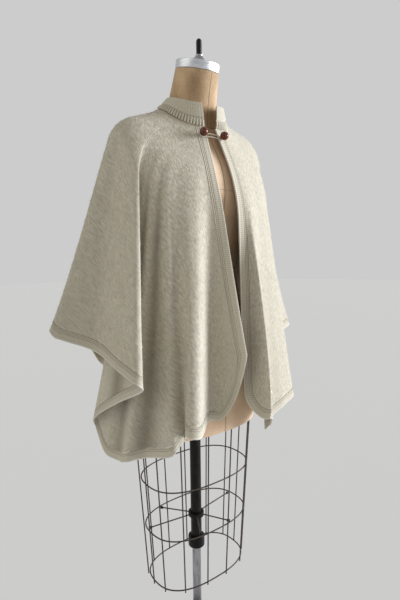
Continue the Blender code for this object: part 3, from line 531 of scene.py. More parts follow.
def cape_point(turn, down):
    """A point of the cape's outer face. turn runs from 0 at the right front edge, round the back, to 1 at the
    left front edge; down runs from 0 at the neck seam to 1 at the hem. Each line of constant turn goes
    straight from the neck to the yoke, rounds over it, and hangs to the hem. On the way the lag holds it in,
    and a late fold stays near the averaged hem, so that it opens only further down."""
    turn, down = np.broadcast_arrays(np.asarray(turn, float), np.asarray(down, float))
    neck = ring_point(COLLAR[0], through(KNOTS, [f.neck for f in FOLDS], turn))
    yoke = yoke_point(through(KNOTS, [f.yoke for f in FOLDS], turn))
    hem = through(KNOTS, HEMS, turn)
    over = yoke - neck
    hang = hem - yoke
    over_length = np.linalg.norm(over, axis=-1)
    hang_length = np.linalg.norm(hang, axis=-1)
    over_way = over / over_length[..., None]
    hang_way = hang / hang_length[..., None]
    side = np.abs(around(through(KNOTS, [f.yoke for f in FOLDS], turn))[0])
    rounding = YOKE_ROUNDING * (1 - SHOULDER_SQUARE * side**6)
    rounding = np.minimum(rounding, YOKE_ROUNDING_SHARE * over_length)
    along = down * (over_length + hang_length)
    bend = np.clip((along - over_length + rounding) / (2 * rounding), 0, 1)[..., None]
    start = yoke - over_way * rounding[..., None]
    end = yoke + hang_way * rounding[..., None]
    bent = start * (1 - bend) ** 2 + 2 * yoke * bend * (1 - bend) + end * bend**2
    before = np.minimum(along - (over_length - rounding), 0)[..., None] * over_way
    after = np.maximum(along - (over_length + rounding), 0)[..., None] * hang_way
    share = np.clip((along - over_length) / hang_length, 0, 1)
    held_in = through(KNOTS, LAGS, turn) * share * share * (share - 1)
    mean = np.stack([np.interp(turn, MEAN_TURNS, MEAN_HEM[:, k]) for k in range(3)], axis=-1)
    late = through(KNOTS, LATES, turn) * share * (share - 1)
    level = np.array([1.0, 1.0, 0.0])
    sideways = hang * level * held_in[..., None] + (hem - mean) * level * late[..., None]
    return bent + before + after + sideways + np.array([0, 0, TORSO_UNDERSIDE])


print("the hem is", round(float(HEM_LENGTH), 2), "m round")

# %% [markdown]
# Real cloth never hangs in perfect curves. A few slow waves, none at the neck and about two millimetres high
# at the hem, break up the long straight falls. They open no seam, because panels and bands share them.

# %% Small waves and the way out of the cloth
TURN_STEP, DOWN_STEP = 0.0006, 0.002
SWELL_DEPTH, BEAT_SHIFT = 0.4, 0.37
Wave = namedtuple("Wave", "cycles drift beats height")
WAVES = [
    Wave(cycles=17, drift=0.6, beats=1.3, height=0.0012),
    Wave(cycles=29, drift=-0.9, beats=2.1, height=0.0008),
    Wave(cycles=47, drift=1.7, beats=3.4, height=0.0004),
]


def out_of_cape(turn, down):
    """Unit direction out of the cloth: (a step round the wearer) x (a step down the cloth)."""
    turn, down = np.broadcast_arrays(np.asarray(turn, float), np.asarray(down, float))
    before, after = np.maximum(turn - TURN_STEP, 0), np.minimum(turn + TURN_STEP, 1)
    above, below = np.maximum(down - DOWN_STEP, 0), np.minimum(down + DOWN_STEP, 1)
    across = cape_point(after, down) - cape_point(before, down)
    along = cape_point(turn, below) - cape_point(turn, above)
    return unit(np.cross(across, along))


def wave_height(turn, down):
    """Height of the small waves: each is a sine round the cape whose phase drifts on the way down, swelling
    and fading as it goes, and all of them grow from nothing at the neck as the square of the way down."""
    height = 0.0
    for wave in WAVES:
        phase = 2 * math.pi * (wave.cycles * turn + wave.drift * down)
        beat = wave.beats * (down + BEAT_SHIFT * wave.cycles * turn)
        swell = 1 - SWELL_DEPTH + SWELL_DEPTH * np.sin(2 * math.pi * beat)
        height = height + wave.height * np.sin(phase) * swell
    return height * np.clip(down, 0, 1) ** 2


def cape_faces(turns, downs, raised=0.0):
    """The outer and inner faces of a stretch of the cape."""
    way = out_of_cape(turns, downs)
    middle = cape_point(turns, downs) + way * wave_height(turns, downs)[..., None]
    raised = np.zeros(np.shape(turns)) + raised
    return middle + way * raised[..., None], middle - way * CLOTH


LEVELS = np.linspace(0, 1, 121)
NEAR_EDGE = np.linspace(0, 0.16, 200)
EDGE_TURNS = {"right": NEAR_EDGE, "left": 1 - NEAR_EDGE}
EDGE_LENGTHS = {
    side: lengths_along(cape_point(turns[None, :], LEVELS[:, None]), 1)
    for side, turns in EDGE_TURNS.items()
}


def turn_in(distance, down, side):
    """The turn that lies this far in from a front's edge, measured round the cloth at the same share down."""
    distance, down = np.broadcast_arrays(np.asarray(distance, float), np.asarray(down, float))
    place = np.clip(down, 0, 1) * (len(LEVELS) - 1)
    level = np.minimum(place.astype(int), len(LEVELS) - 2)
    blend = (place - level)[..., None]
    run = EDGE_LENGTHS[side][level] * (1 - blend) + EDGE_LENGTHS[side][level + 1] * blend
    cell = np.clip((run <= distance[..., None]).sum(axis=-1) - 1, 0, len(NEAR_EDGE) - 2)
    before = np.take_along_axis(run, cell[..., None], -1)[..., 0]
    after = np.take_along_axis(run, cell[..., None] + 1, -1)[..., 0]
    share = (distance - before) / (after - before)
    turns = EDGE_TURNS[side]
    return turns[cell] + (turns[cell + 1] - turns[cell]) * share


FINE_TURNS = np.linspace(0, 1, 1201)
FINE_LENGTHS = lengths_along(cape_point(FINE_TURNS[:, None], np.linspace(0, 1, 60)), 1)[:, -1]


def down_at(turn, above_hem):
    """The share down the cloth that lies this far above the hem line, measured along the cloth."""
    return 1 - above_hem / np.interp(turn, FINE_TURNS, FINE_LENGTHS)


def beside_seam(seam, side, down):
    """The turn half a gap to one side of a shoulder seam."""
    step = 0.001
    run = np.linalg.norm(cape_point(seam + step, down) - cape_point(seam - step, down), axis=-1)
    return seam + side * GAP / 2 / (run / (2 * step))


print("the cloth is", np.round(FINE_LENGTHS.min(), 2), "to", np.round(FINE_LENGTHS.max(), 2), "m long")

# %% [markdown]
# ## Brushed wool
#
# Hairy knit is brushed after it is made: steel points pull fine hairs out of the yarn, and these lie down
# over the stitches in short strokes. Two things carry that look. The material mottles colour and relief in
# grains that are longer down the cloth than across it, and tens of thousands of real hairs lie over it and
# soften every outline. The light is caught at grazing angles by the shader's sheen.

# %% Finishes for the cloth
WOOL_LIGHT = (0.67, 0.63, 0.525)
WOOL_DARK = (0.48, 0.44, 0.34)
# Painted shade: deep folds and the grooves of the band and the collar are mixed towards the next colour
WOOL_SHADE = (0.20, 0.175, 0.125)
# A painted highlight for the rolled lip at the band's free edge
WOOL_HIGHLIGHT = (0.80, 0.77, 0.68)
HAIR_LIGHT = (0.74, 0.705, 0.60)
HAIR_DARK = (0.58, 0.54, 0.44)
FOLD_SHADE = 0.72
GROOVE_SHADE, GROOVE_LINE = 0.6, (0.0011, 0.0003)
LIP_HIGHLIGHT_SHARE, LIP_HIGHLIGHT_LINE = 0.6, (0.0042, 0.0022)
SHEEN_CREAM, SHEEN_WHITE = (1.0, 0.98, 0.92, 1.0), (1.0, 1.0, 1.0, 1.0)
COURSE_PITCH = 0.0026


def knit_finish(name, roughness, sheen, sheen_roughness, specular=0.25, tint=SHEEN_CREAM):
    """A matt woollen finish whose sheen catches the light at grazing angles."""
    return finish_of(name, {
        "Roughness": roughness,
        "Specular IOR Level": specular,
        "Sheen Weight": sheen,
        "Sheen Roughness": sheen_roughness,
        "Sheen Tint": tint,
    })


def brushed_wool(name, stroke, relief, light=WOOL_LIGHT, dark=WOOL_DARK):
    """Cloth whose grains are stroke metres wide and longer down the cloth, over broad soft patches. Its
    "fold" attribute says how deep in a fold a point lies, and shade is painted there by that much."""
    made, shader, start = knit_finish(name, roughness=0.95, sheen=0.22, sheen_roughness=0.45)
    cloth = start.mark("cloth")
    strokes = cloth.stretched((stroke, 2.6 * stroke, 1.0)).noise(detail=3.0, roughness=0.62)
    tufts = cloth.stretched((2.2 * stroke, 3.0 * stroke, 1.0)).noise(detail=1.0)
    patches = cloth.stretched((0.06, 0.11, 1.0)).noise(detail=2.0)
    tone = 0.65 * strokes + 0.25 * tufts + 0.1 * patches
    fleece = tone.smooth(0.36, 0.64).mix(dark, light)
    fold = start.mark("fold").part("X")
    feed(shader, "Base Color", (FOLD_SHADE * fold).mix(fleece, WOOL_SHADE))
    feed(shader, "Normal", bump(0.6 * strokes + 0.4 * tufts, relief))
    return made


def rib_knit(name, pitch, relief):
    """Knitted band with fine ribs pitch metres apart that run across it, and a rolled lip at its free edge
    with a painted highlight along it. Shade is painted into the two grooves where the twin needles pull it
    in, and the colour is darker in the rib valleys than on the crests, painted shade and light over a random
    grain. Its
    "band" attribute holds the metres in from the free edge and the metres along it."""
    made, shader, start = knit_finish(name, roughness=0.92, sheen=0.15, sheen_roughness=0.5)
    place = start.mark("band")
    across, along = place.part("X"), place.part("Y")
    ribs = (along * (2 * math.pi / pitch)).sine()
    courses = (across * (2 * math.pi / COURSE_PITCH)).sine()
    grain = place.stretched((0.003, 0.002, 1.0)).noise(detail=3.0)
    height = 0.5 + 0.2 * ribs + 0.08 * courses + 0.5 * (grain - 0.5)
    # A painted highlight along the rolled lip at the free edge
    lip = across.smooth(*LIP_HIGHLIGHT_LINE)
    # Painted shade in the two stitched grooves; the knit colour under it is darker in the rib valleys than on
    # the crests, painted shade and light over a random grain
    first, second = ((across - inset).absolute().smooth(*GROOVE_LINE) for inset in GROOVES)
    knit = height.smooth(0.2, 0.8).mix(WOOL_DARK, WOOL_LIGHT)
    knit = (GROOVE_SHADE * first.larger(second)).mix(knit, WOOL_SHADE)
    feed(shader, "Base Color", (LIP_HIGHLIGHT_SHARE * lip).mix(knit, WOOL_HIGHLIGHT))
    feed(shader, "Normal", bump(height, relief))
    return made


wool = brushed_wool("wool_brushed", stroke=0.0034, relief=0.0013)
hair = brushed_wool("wool_hair", stroke=0.004, relief=0.0002, light=HAIR_LIGHT, dark=HAIR_DARK)
band_knit = rib_knit("wool_band", pitch=0.0048, relief=0.0006)
print("cloth finishes:", wool.name, hair.name, band_knit.name)

# %% [markdown]
# ## Fronts and back
#
# Each panel is one grid. Its columns start at the neck and end on the lower edge: first round the rounded
# corner of the front, then along the hem to the shoulder seam. The band is knitted on outside that line.

# %% Grids of the panels
CORNER_PLACES = np.linspace(1, 2, 27)
HEM_PLACES = np.linspace(2, 3, 150)
PANEL_ROWS = 104
BACK_COLUMNS = 270
BACK_ROWS = 92
TOP_SHARE = 0.001
ROW_POWER = 0.9
SEAMS = {"right": (KNOTS[RIGHT_SEAM], -1), "left": (KNOTS[LEFT_SEAM], 1)}


def bottom_line(inset, places, side):
    """The line this far in from a front's free edge: a superellipse quarter round the corner (places 1 to 2),
    then parallel to the hem as far as the shoulder seam (places 2 to 3). The turn at the corner depends on
    the share down and the other way about, so the two are worked out in turns, three times."""
    seam, way = SEAMS[side]
    angle = (np.minimum(places, 2) - 1) * math.pi / 2
    wide, tall, flatness = CORNER_ACROSS[side], CORNER_UP[side], CORNER_FLATNESS[side]
    across = wide - (wide - inset) * np.cos(angle) ** flatness
    above = tall - (tall - inset) * np.sin(angle) ** flatness
    turns = turn_in(across, 1.0, side)
    for attempt in range(3):
        downs = down_at(turns, above)
        turns = turn_in(across, downs * (2 - places) + places - 1, side)
    start = turn_in(wide, 1.0, side)
    hem_downs = down_at(start + (seam - start) * (places - 2), inset)
    hem_turns = start + (beside_seam(seam, way, hem_downs) - start) * (places - 2)
    round_corner = places < 2
    return np.where(round_corner, turns, hem_turns), np.where(round_corner, downs, hem_downs)


def front_grid(side):
    """Turns and downs of a front inside its band; the left front's columns are turned round, so that both run
    the same way round the wearer."""
    seam, way = SEAMS[side]
    inset = BAND_WIDTH + BAND_SEAM
    bottom_turns, bottom_downs = bottom_line(inset, np.concatenate([CORNER_PLACES[:-1], HEM_PLACES]), side)
    shares = (bottom_turns - bottom_turns[0]) / (bottom_turns[-1] - bottom_turns[0])
    downs = TOP_SHARE + (bottom_downs[:, None] - TOP_SHARE) * np.linspace(0, 1, PANEL_ROWS) ** ROW_POWER
    edges = turn_in(inset, downs, side)
    turns = edges + (beside_seam(seam, way, downs) - edges) * shares[:, None]
    turns[:, -1] = bottom_turns
    order = slice(None, None, -1) if side == "left" else slice(None)
    return turns[order], downs[order]


def back_grid():
    """Turns and downs of the back above its band."""
    places = np.linspace(0, 1, BACK_COLUMNS)
    first = beside_seam(KNOTS[RIGHT_SEAM], 1, 1.0)
    last = beside_seam(KNOTS[LEFT_SEAM], -1, 1.0)
    bottoms = down_at(first + (last - first) * places, BAND_WIDTH + BAND_SEAM)
    downs = TOP_SHARE + (bottoms[:, None] - TOP_SHARE) * np.linspace(0, 1, BACK_ROWS) ** ROW_POWER
    first = beside_seam(KNOTS[RIGHT_SEAM], 1, downs)
    last = beside_seam(KNOTS[LEFT_SEAM], -1, downs)
    return first + (last - first) * places[:, None], downs


print("a front has", len(CORNER_PLACES) + len(HEM_PLACES) - 1, "columns and the back", BACK_COLUMNS)

# %% [markdown]
# Where two walls of cloth nearly close on each other, hardly any light gets in. The real folds are tighter
# than a smooth curve through the table can be, so their shade would fall short here, and the wool is
# darkened in four of them. Each is a bell curve round its row of the table, kept on the points of the
# panels and the hairs.

# %% Deep folds and the panels
FOLD_TURNS = {fold.name: knot for fold, knot in zip(FOLDS, KNOTS)}
FOLD_SHADE_FROM, FOLD_SHADE_RUN = 0.12, 0.25
Hollow = namedtuple("Hollow", "name width strength")
HOLLOWS = [
    Hollow("right_return", 0.0062, 1.0),
    Hollow("right_ridge", 0.0078, 0.95),
    Hollow("right_pocket", 0.0070, 0.70),
    Hollow("flute_hollow", 0.0040, 0.30),
]


def fold_depth(turns, downs):
    """How deep in a fold each point lies, 0 to 1: a bell curve round each hollow, growing down the cloth."""
    depth = np.zeros(turns.shape)
    for hollow in HOLLOWS:
        bell = hollow.strength * np.exp(-(((turns - FOLD_TURNS[hollow.name]) / hollow.width) ** 2))
        depth = np.maximum(depth, bell)
    return depth * np.clip((downs - FOLD_SHADE_FROM) / FOLD_SHADE_RUN, 0, 1)


panel_grids = {"front_right": front_grid("right"), "front_left": front_grid("left"), "back": back_grid()}
centres = {"front_right": 0, "front_left": -1, "back": BACK_COLUMNS // 2}
panels, panel_faces, panel_folds = {}, {}, {}
for name, (turns, downs) in panel_grids.items():
    outer, inner = cape_faces(turns, downs)
    panel_faces[name] = outer
    panels[name] = wall("cape_" + name, outer, inner, wool, centres[name])
    panel_folds[name] = joined(fold_depth(turns, downs), 0.0)
    mark(panels[name], "fold", np.concatenate([panel_folds[name], panel_folds[name]]))
    print(panels[name].name, "is", round(float(cloth_area(outer).sum()), 3), "m2 of cloth")

# %% [markdown]
# ## Hairs of the nap
#
# A hair is a long thin tetrahedron: three points at its root and one at its tip, so it is closed and costs
# four triangles. Roots are scattered evenly over the cloth. Each hair leans down the cloth with a turn to one
# side or the other and stands out by a tenth to a half of its length; one in seven is loose and stands out
# further. A hair is lit nearly as the cloth under it is, by normals that lean only a little along it.

# %% Nap
HAIRS_PER_M2 = 74000
HAIR_LENGTH = (0.004, 0.009)
HAIR_WIDTH = (0.00018, 0.00034)
HAIR_STAND = (0.10, 0.60)
HAIR_SWING = 0.60
HAIR_SINK = 0.0004
LOOSE_SHARE, LOOSE_STAND = 0.15, 0.9
HAIR_LIT_ALONG = 0.25
NAP_SEED = 11


def at_cells(grid, cell, a, b):
    """Values of a grid inside its cells: a weighted mean of the cell's four corners."""
    i, j = cell
    a, b = a[:, None], b[:, None]
    return (
        grid[i, j] * (1 - a) * (1 - b) + grid[i + 1, j] * a * (1 - b)
        + grid[i, j + 1] * (1 - a) * b + grid[i + 1, j + 1] * a * b
    )


def nap(name, outer, seed, density=HAIRS_PER_M2, length=HAIR_LENGTH, folds=None):
    """Hairs over a grid of points. A cell is drawn by its area and a place in it evenly; the way of a hair is
    the fall of the cloth turned by a swing, plus a share of the way out of the cloth."""
    draw = np.random.default_rng(seed)
    areas = cloth_area(outer)
    count = int(areas.sum() * density)
    picked = draw.choice(areas.size, count, p=(areas / areas.sum()).ravel())
    cell = np.unravel_index(picked, areas.shape)
    a, b = draw.random(count), draw.random(count)
    round_it = unit(np.gradient(outer, axis=0))
    down = unit(np.gradient(outer, axis=1))
    way_out = unit(np.cross(round_it, down))
    root = at_cells(outer, cell, a, b)
    normal = unit(at_cells(way_out, cell, a, b))
    fall = unit(at_cells(down, cell, a, b))
    aside = np.cross(normal, fall)
    swing = draw.normal(0, HAIR_SWING, count)[:, None]
    stand = draw.uniform(*HAIR_STAND, count)[:, None]
    stand = np.where(draw.random(count)[:, None] < LOOSE_SHARE, LOOSE_STAND * (1 + stand), stand)
    reach = draw.uniform(*length, count)[:, None]
    way = unit(fall * np.cos(swing) + aside * np.sin(swing) + normal * stand)
    width = draw.uniform(*HAIR_WIDTH, count)[:, None]
    flat = unit(np.cross(way, normal))
    root = root - normal * HAIR_SINK
    corners = [root - flat * width, root + flat * width, root + normal * width, root + way * reach]
    points = np.stack(corners, axis=1).reshape(-1, 3)
    first = (4 * np.arange(count))[:, None]
    sides = np.array([[0, 1, 2], [0, 3, 1], [1, 3, 2], [2, 3, 0]])
    faces = (first[:, None] + sides[None]).reshape(-1, 3)
    thing = new_piece(name, points, [faces], hair)
    place = joined(lengths_along(outer, 0), lengths_along(outer, 1))
    mark(thing, "cloth", np.repeat(at_cells(place, cell, a, b), 4, axis=0))
    if folds is not None:
        mark(thing, "fold", np.repeat(at_cells(folds, cell, a, b), 4, axis=0))
    lit = unit(np.repeat(normal, 4, axis=0) + HAIR_LIT_ALONG * np.repeat(way, 4, axis=0))
    thing.data.normals_split_custom_set_from_vertices(lit.tolist())
    print(name, "has", count, "hairs")
    return thing


naps = {
    name: nap("nap_" + name, outer, seed, folds=panel_folds[name])
    for seed, (name, outer) in enumerate(panel_faces.items(), NAP_SEED)
}

# %% [markdown]
# ## Edge bands
#
# The band is a firm strip of the same knit, 22 mm wide, folded over the raw edge: a small rolled lip outside,
# a flat middle, and a groove where twin needles stitch it down. It follows the front edge, goes round the
# corner and on along the hem.

# %% Bands
BAND_ACROSS = BAND_WIDTH * np.array([
    0, 0.03, 0.07, 0.12, 0.18, 0.3, 0.45, 0.6, 0.65, 0.69, 0.73, 0.78, 0.83, 0.87, 0.91, 0.96, 1.0,
])
LIP_PLACE, LIP_WIDTH, LIP_HEIGHT = 0.0016, 0.0013, 0.0008
GROOVE_WIDTH, GROOVE_DEPTH = 0.0010, 0.0007
STRAIGHT_PLACES = np.linspace(0, 1, 96) ** ROW_POWER


def band_height(inset):
    """Relief across the band: the rolled lip at its free edge is one bell curve, each groove another."""
    lip = LIP_HEIGHT * np.exp(-(((inset - LIP_PLACE) / LIP_WIDTH) ** 2))
    grooves = sum(np.exp(-(((inset - place) / GROOVE_WIDTH) ** 2)) for place in GROOVES)
    return BAND_RAISED + lip - GROOVE_DEPTH * grooves


def front_line(inset, side):
    """Down the straight front edge at this inset, then round to the shoulder seam."""
    turns, downs = bottom_line(inset, np.concatenate([CORNER_PLACES[:-1], HEM_PLACES]), side)
    straight = TOP_SHARE + (downs[0] - TOP_SHARE) * STRAIGHT_PLACES[:-1]
    return np.concatenate([turn_in(inset, straight, side), turns]), np.concatenate([straight, downs])


def back_line(inset):
    """Along the back's hem at this inset."""
    first = beside_seam(KNOTS[RIGHT_SEAM], 1, 1.0)
    last = beside_seam(KNOTS[LEFT_SEAM], -1, 1.0)
    turns = np.linspace(first, last, BACK_COLUMNS)
    return turns, down_at(turns, inset)


def line_at(inset, name):
    """The line at this inset along one of the three bands."""
    return back_line(inset) if name == "back" else front_line(inset, name)


bands, band_faces = {}, {}
for name in ("right", "left", "back"):
    lines = [line_at(inset, name) for inset in BAND_ACROSS]
    turns, downs = (np.stack(values) for values in zip(*lines))
    heights = band_height(BAND_ACROSS)[:, None] + np.zeros(turns.shape)
    if name == "left":
        turns, downs, heights = turns[::-1], downs[::-1], heights[::-1]
    if name == "back":
        turns, downs, heights = turns[::-1].T, downs[::-1].T, heights[::-1].T
    outer, inner = cape_faces(turns, downs, heights)
    bands[name] = wall("cape_band_" + name, outer, inner, band_knit)
    along = lengths_along(outer, 0 if name == "back" else 1)
    insets = BAND_ACROSS[::-1] if name in ("left", "back") else BAND_ACROSS
    insets = insets[None, :] if name == "back" else insets[:, None]
    place = joined(insets, along)
    mark(bands[name], "band", np.concatenate([place, place]))
    band_faces[name] = outer
    print(bands[name].name, "is", round(float(cloth_area(outer).sum()), 4), "m2")

# %% [markdown]
# Two rows of thread lie in the grooves. A drawn stitch would look flat at a low angle, so they are real
# pieces: each is a short lozenge of six points.

# %% Twin stitching
STITCH_STEP = 0.0042
STITCH_LENGTH = 0.0030
STITCH_WIDTH = 0.00035
STITCH_RAISED = 0.4
THREAD_DARK, THREAD_LIGHT, THREAD_GRAIN = (0.42, 0.37, 0.28), (0.62, 0.57, 0.46), 0.0004

thread, shader, start = finish_of("thread_cream", {"Roughness": 0.6, "Sheen Weight": 0.2})
spot = start.spot()
twist = spot.stretched((THREAD_GRAIN, THREAD_GRAIN, THREAD_GRAIN)).noise()
feed(shader, "Base Color", twist.mix(THREAD_DARK, THREAD_LIGHT))


def stitches(name, band):
    """Lozenges of thread: six points each, two at the ends, two beside the middle, one over and one under."""
    points = []
    for row in GROOVES:
        turns, downs = line_at(row, band)
        way = out_of_cape(turns, downs)
        lift = wave_height(turns, downs) + band_height(row) + STITCH_WIDTH * STITCH_RAISED
        line = cape_point(turns, downs) + way * lift[:, None]
        run = lengths_along(line, 0)
        middles = np.arange(STITCH_STEP, run[-1] - STITCH_STEP, STITCH_STEP)

        def along_line(values, places):
            """The values of the line's points, read at these distances along it."""
            return np.stack([np.interp(places, run, values[:, k]) for k in range(3)], axis=-1)

        head = along_line(line, middles - STITCH_LENGTH / 2)
        foot = along_line(line, middles + STITCH_LENGTH / 2)
        centre = along_line(line, middles)
        lifted = unit(along_line(way, middles))
        beside = unit(np.cross(lifted, foot - head)) * STITCH_WIDTH
        over = lifted * STITCH_WIDTH
        sides = [centre + beside, centre - beside, centre + over, centre - over]
        points.append(np.stack([head, foot, *sides], axis=1))
    points = np.concatenate(points)
    corners = np.array([
        [0, 2, 4], [0, 4, 3], [0, 3, 5], [0, 5, 2],
        [1, 4, 2], [1, 3, 4], [1, 5, 3], [1, 2, 5],
    ])
    faces = ((6 * np.arange(len(points)))[:, None, None] + corners[None]).reshape(-1, 3)
    print(name, "has", len(points), "stitches")
    return new_piece(name, points.reshape(-1, 3), [faces], thread)


band_stitches = {name: stitches("stitches_" + name, name) for name in bands}

# %% [markdown]
# ## Collar
#
# The collar is knitted in rib and sewn to the neckline. It flares a little at its foot, is drawn in, and
# stands up round the neck. A rib is a rounded cord: its height over the plain wall follows the absolute value
# of a sine round the collar, which is broad on top and sharp in the groove. The ribs are bold at the foot,
# where the knit is spread, and fine above the bend. Shade is painted into the grooves, deeper at the foot,
# and a painted shadow runs along the bend.

# %% Collar
COLLAR_WALL = 0.0025
COLLAR_LIFT = 0.0007
RIBS = 72
RIB_STEPS = 10
COLLAR_HEIGHTS = np.linspace(0, 1, 26)
RIB_FOOT, RIB_TOP = 0.0026, 0.0003
BEND_PLACE, BEND_WIDTH, BEND_DEPTH = 0.42, 0.07, 0.0012
FOOT_FLARE = 0.0010
FLARE_END = 0.8 * BEND_PLACE
RIB_FULLNESS = 0.7
GROOVE_FROM, GROOVE_FULL = 0.42, 0.88
TOP_LIP_PLACE, TOP_LIP_WIDTH, TOP_LIP_HEIGHT = 0.965, 0.03, 0.0006
COLLAR_NAP_SEED, COLLAR_HAIRS_PER_M2, COLLAR_HAIR_LENGTH = 31, 60000, (0.0015, 0.0035)


def collar_sheet(share, height):
    """A point of the collar: a quadratic curve up through its three rings, at this share round them."""
    low, middle, top = (
        ring_point(ring, ring.right_end + (ring.left_end - ring.right_end) * share) for ring in COLLAR
    )
    height = height[..., None]
    curve = low * (1 - height) ** 2 + 2 * middle * height * (1 - height) + top * height**2
    return curve + np.array([0, 0, TORSO_UNDERSIDE + COLLAR_LIFT])


collar_knit, shader, start = knit_finish(
    "wool_rib", roughness=0.95, sheen=0.15, sheen_roughness=0.5, specular=0.2, tint=SHEEN_WHITE,
)
place = start.mark("rib")
# Painted shade in the grooves between the ribs, stronger at the foot, and a painted shadow line along the
# bend
groove = 1 - (place.part("X") * math.pi).sine().absolute()
foot = place.part("Y").smooth(BEND_PLACE + 0.06, BEND_PLACE - 0.08)
bend_shadow = (place.part("Y") - BEND_PLACE).absolute().smooth(BEND_WIDTH, 0.0)
shade = groove.smooth(GROOVE_FROM, GROOVE_FULL) * (0.22 + 0.75 * foot)
shade = shade.larger(0.45 * bend_shadow)
tone = start.mark("cloth").stretched((0.0018, 0.003, 1.0)).noise(detail=3.0)
feed(shader, "Base Color", shade.mix(tone.smooth(0.3, 0.7).mix(WOOL_DARK, WOOL_LIGHT), WOOL_SHADE))
feed(shader, "Normal", bump(tone, 0.0005))

share, height = np.meshgrid(np.linspace(0, 1, RIBS * RIB_STEPS + 1), COLLAR_HEIGHTS[::-1], indexing="ij")
sheet_points = collar_sheet(share, height)
way = unit(np.cross(np.gradient(sheet_points, axis=0), np.gradient(sheet_points, axis=1)))
rib = np.abs(np.sin(math.pi * RIBS * share)) ** RIB_FULLNESS
bold = RIB_TOP + (RIB_FOOT - RIB_TOP) * np.clip(1 - height / BEND_PLACE, 0, 1) ** 0.5
bend = BEND_DEPTH * np.exp(-(((height - BEND_PLACE) / BEND_WIDTH) ** 2))
lip = TOP_LIP_HEIGHT * np.exp(-(((height - TOP_LIP_PLACE) / TOP_LIP_WIDTH) ** 2))
flare = FOOT_FLARE * np.clip(1 - height / FLARE_END, 0, 1) ** 1.5
outer = sheet_points + way * (rib * bold - bend + lip + flare)[..., None]
collar = wall("cape_collar", outer, sheet_points - way * COLLAR_WALL, collar_knit)
place = joined(RIBS * share, height)
mark(collar, "rib", np.concatenate([place, place]))
collar_outer = outer
collar_nap = nap("nap_collar", outer[:, 2:-2], COLLAR_NAP_SEED, COLLAR_HAIRS_PER_M2, COLLAR_HAIR_LENGTH)
print("the collar has", RIBS, "ribs and stands", np.round(np.ptp(outer[0, :, 2]), 3), "m at its front end")

# %% [markdown]
# ## Torso
#
# The form is papier mache under tight tan linen. Its sections are rounded ovals, flatter at the front and
# back than a circle; a curve through the table's rows carries them up the body. Sewn seams run down the
# middle and over the bust, and tapes mark the bust, the waist and the foot of the neck. They are drawn in the
# material as thin dark lines with a groove, because thread that fine has hardly any shape of its own.

# %% Torso
Ring = namedtuple("Ring", "rise half_width front back squareness lean")

# Sections of the torso. front and back are depths from the section's own middle; lean moves that middle
# along Y.
TORSO = [
    Ring(0.000, 0.164, 0.117, 0.117, 2.5, 0.0),
    Ring(0.010, 0.167, 0.119, 0.120, 2.5, 0.0),
    Ring(0.080, 0.170, 0.118, 0.128, 2.4, 0.0),
    Ring(0.160, 0.166, 0.112, 0.128, 2.3, 0.0),
    Ring(0.270, 0.143, 0.100, 0.104, 2.2, 0.0),
    Ring(0.400, 0.119, 0.090, 0.080, 2.1, 0.0),
    Ring(0.480, 0.130, 0.104, 0.090, 2.2, 0.0),
    Ring(0.575, 0.150, 0.122, 0.102, 2.4, 0.0),
    Ring(0.635, 0.158, 0.107, 0.106, 2.4, 0.0),
    Ring(0.672, 0.172, 0.086, 0.096, 2.2, 0.0),
    Ring(0.694, 0.170, 0.074, 0.086, 2.1, 0.002),
    Ring(0.712, 0.150, 0.068, 0.076, 2.0, 0.003),
    Ring(0.728, 0.120, 0.064, 0.069, 2.0, 0.003),
    Ring(0.742, 0.092, 0.061, 0.063, 2.0, 0.002),
    Ring(0.756, 0.073, 0.060, 0.059, 2.0, -0.001),
    Ring(0.775, 0.0625, 0.058, 0.057, 2.0, -0.005),
    Ring(0.812, 0.0560, 0.054, 0.054, 2.0, -0.015),
    Ring(0.855, 0.0510, 0.0510, 0.0510, 2.0, -0.028),
]
NECK_SLOPE = 0.24
NECK_SLOPE_FROM = 0.756
TORSO_COLUMNS = 160
TORSO_ROWS = 150
FOOT_RISES = (0, 0.002, 0.005)


def oval(half_width, front, back, squareness, turn):
    """A point of a rounded section, turn 0 facing the front: a superellipse whose depth differs before and
    behind."""
    side, before = -np.sin(turn), -np.cos(turn)
    depth = np.where(before < 0, front, back)
    reach = (np.abs(side) ** squareness + np.abs(before) ** squareness) ** (-1 / squareness)
    return half_width * side * reach, depth * before * reach


def closed_loft(name, rings, finish, sharp=40):
    """A solid from rings of points, from the lowest up, each running round from +X to +Y; its ends are closed
    by fans."""
    levels, columns = rings.shape[:2]
    number = np.arange(levels * columns).reshape(levels, columns)
    beside = np.roll(number, -1, axis=1)
    sides = np.stack([number[:-1], beside[:-1], beside[1:], number[1:]], axis=-1).reshape(-1, 4)
    low, high = levels * columns, levels * columns + 1
    bottom = np.stack([np.full(columns, low), beside[0], number[0]], axis=-1)
    top = np.stack([np.full(columns, high), number[-1], beside[-1]], axis=-1)
    points = np.concatenate([rings.reshape(-1, 3), [rings[0].mean(axis=0)], [rings[-1].mean(axis=0)]])
    return new_piece(name, points, [sides, np.concatenate([bottom, top])], finish, sharp)


rises = np.array([ring.rise for ring in TORSO])
at = np.concatenate([FOOT_RISES, np.linspace(TORSO[1].rise, rises[-1], TORSO_ROWS)])
*section, lean = (
    through(rises, [getattr(ring, field) for ring in TORSO], at)[:, None] for field in Ring._fields[1:]
)
x, y = oval(*section, -ring_angles(TORSO_COLUMNS)[None, :])
tilt = np.clip((at - NECK_SLOPE_FROM) / (rises[-1] - NECK_SLOPE_FROM), 0, 1)[:, None] * NECK_SLOPE
torso_rings = joined(x, lean + y, TORSO_UNDERSIDE + at[:, None] + y * tilt)
print("the torso is worked out as", torso_rings.shape[0], "rings of", TORSO_COLUMNS, "points")

# %% [markdown]
# The linen is woven of threads that run round and up the body, here two stretched noises, and use has
# stained it. The form shows turned a few degrees under the cape, so its middle seam lies off the middle.

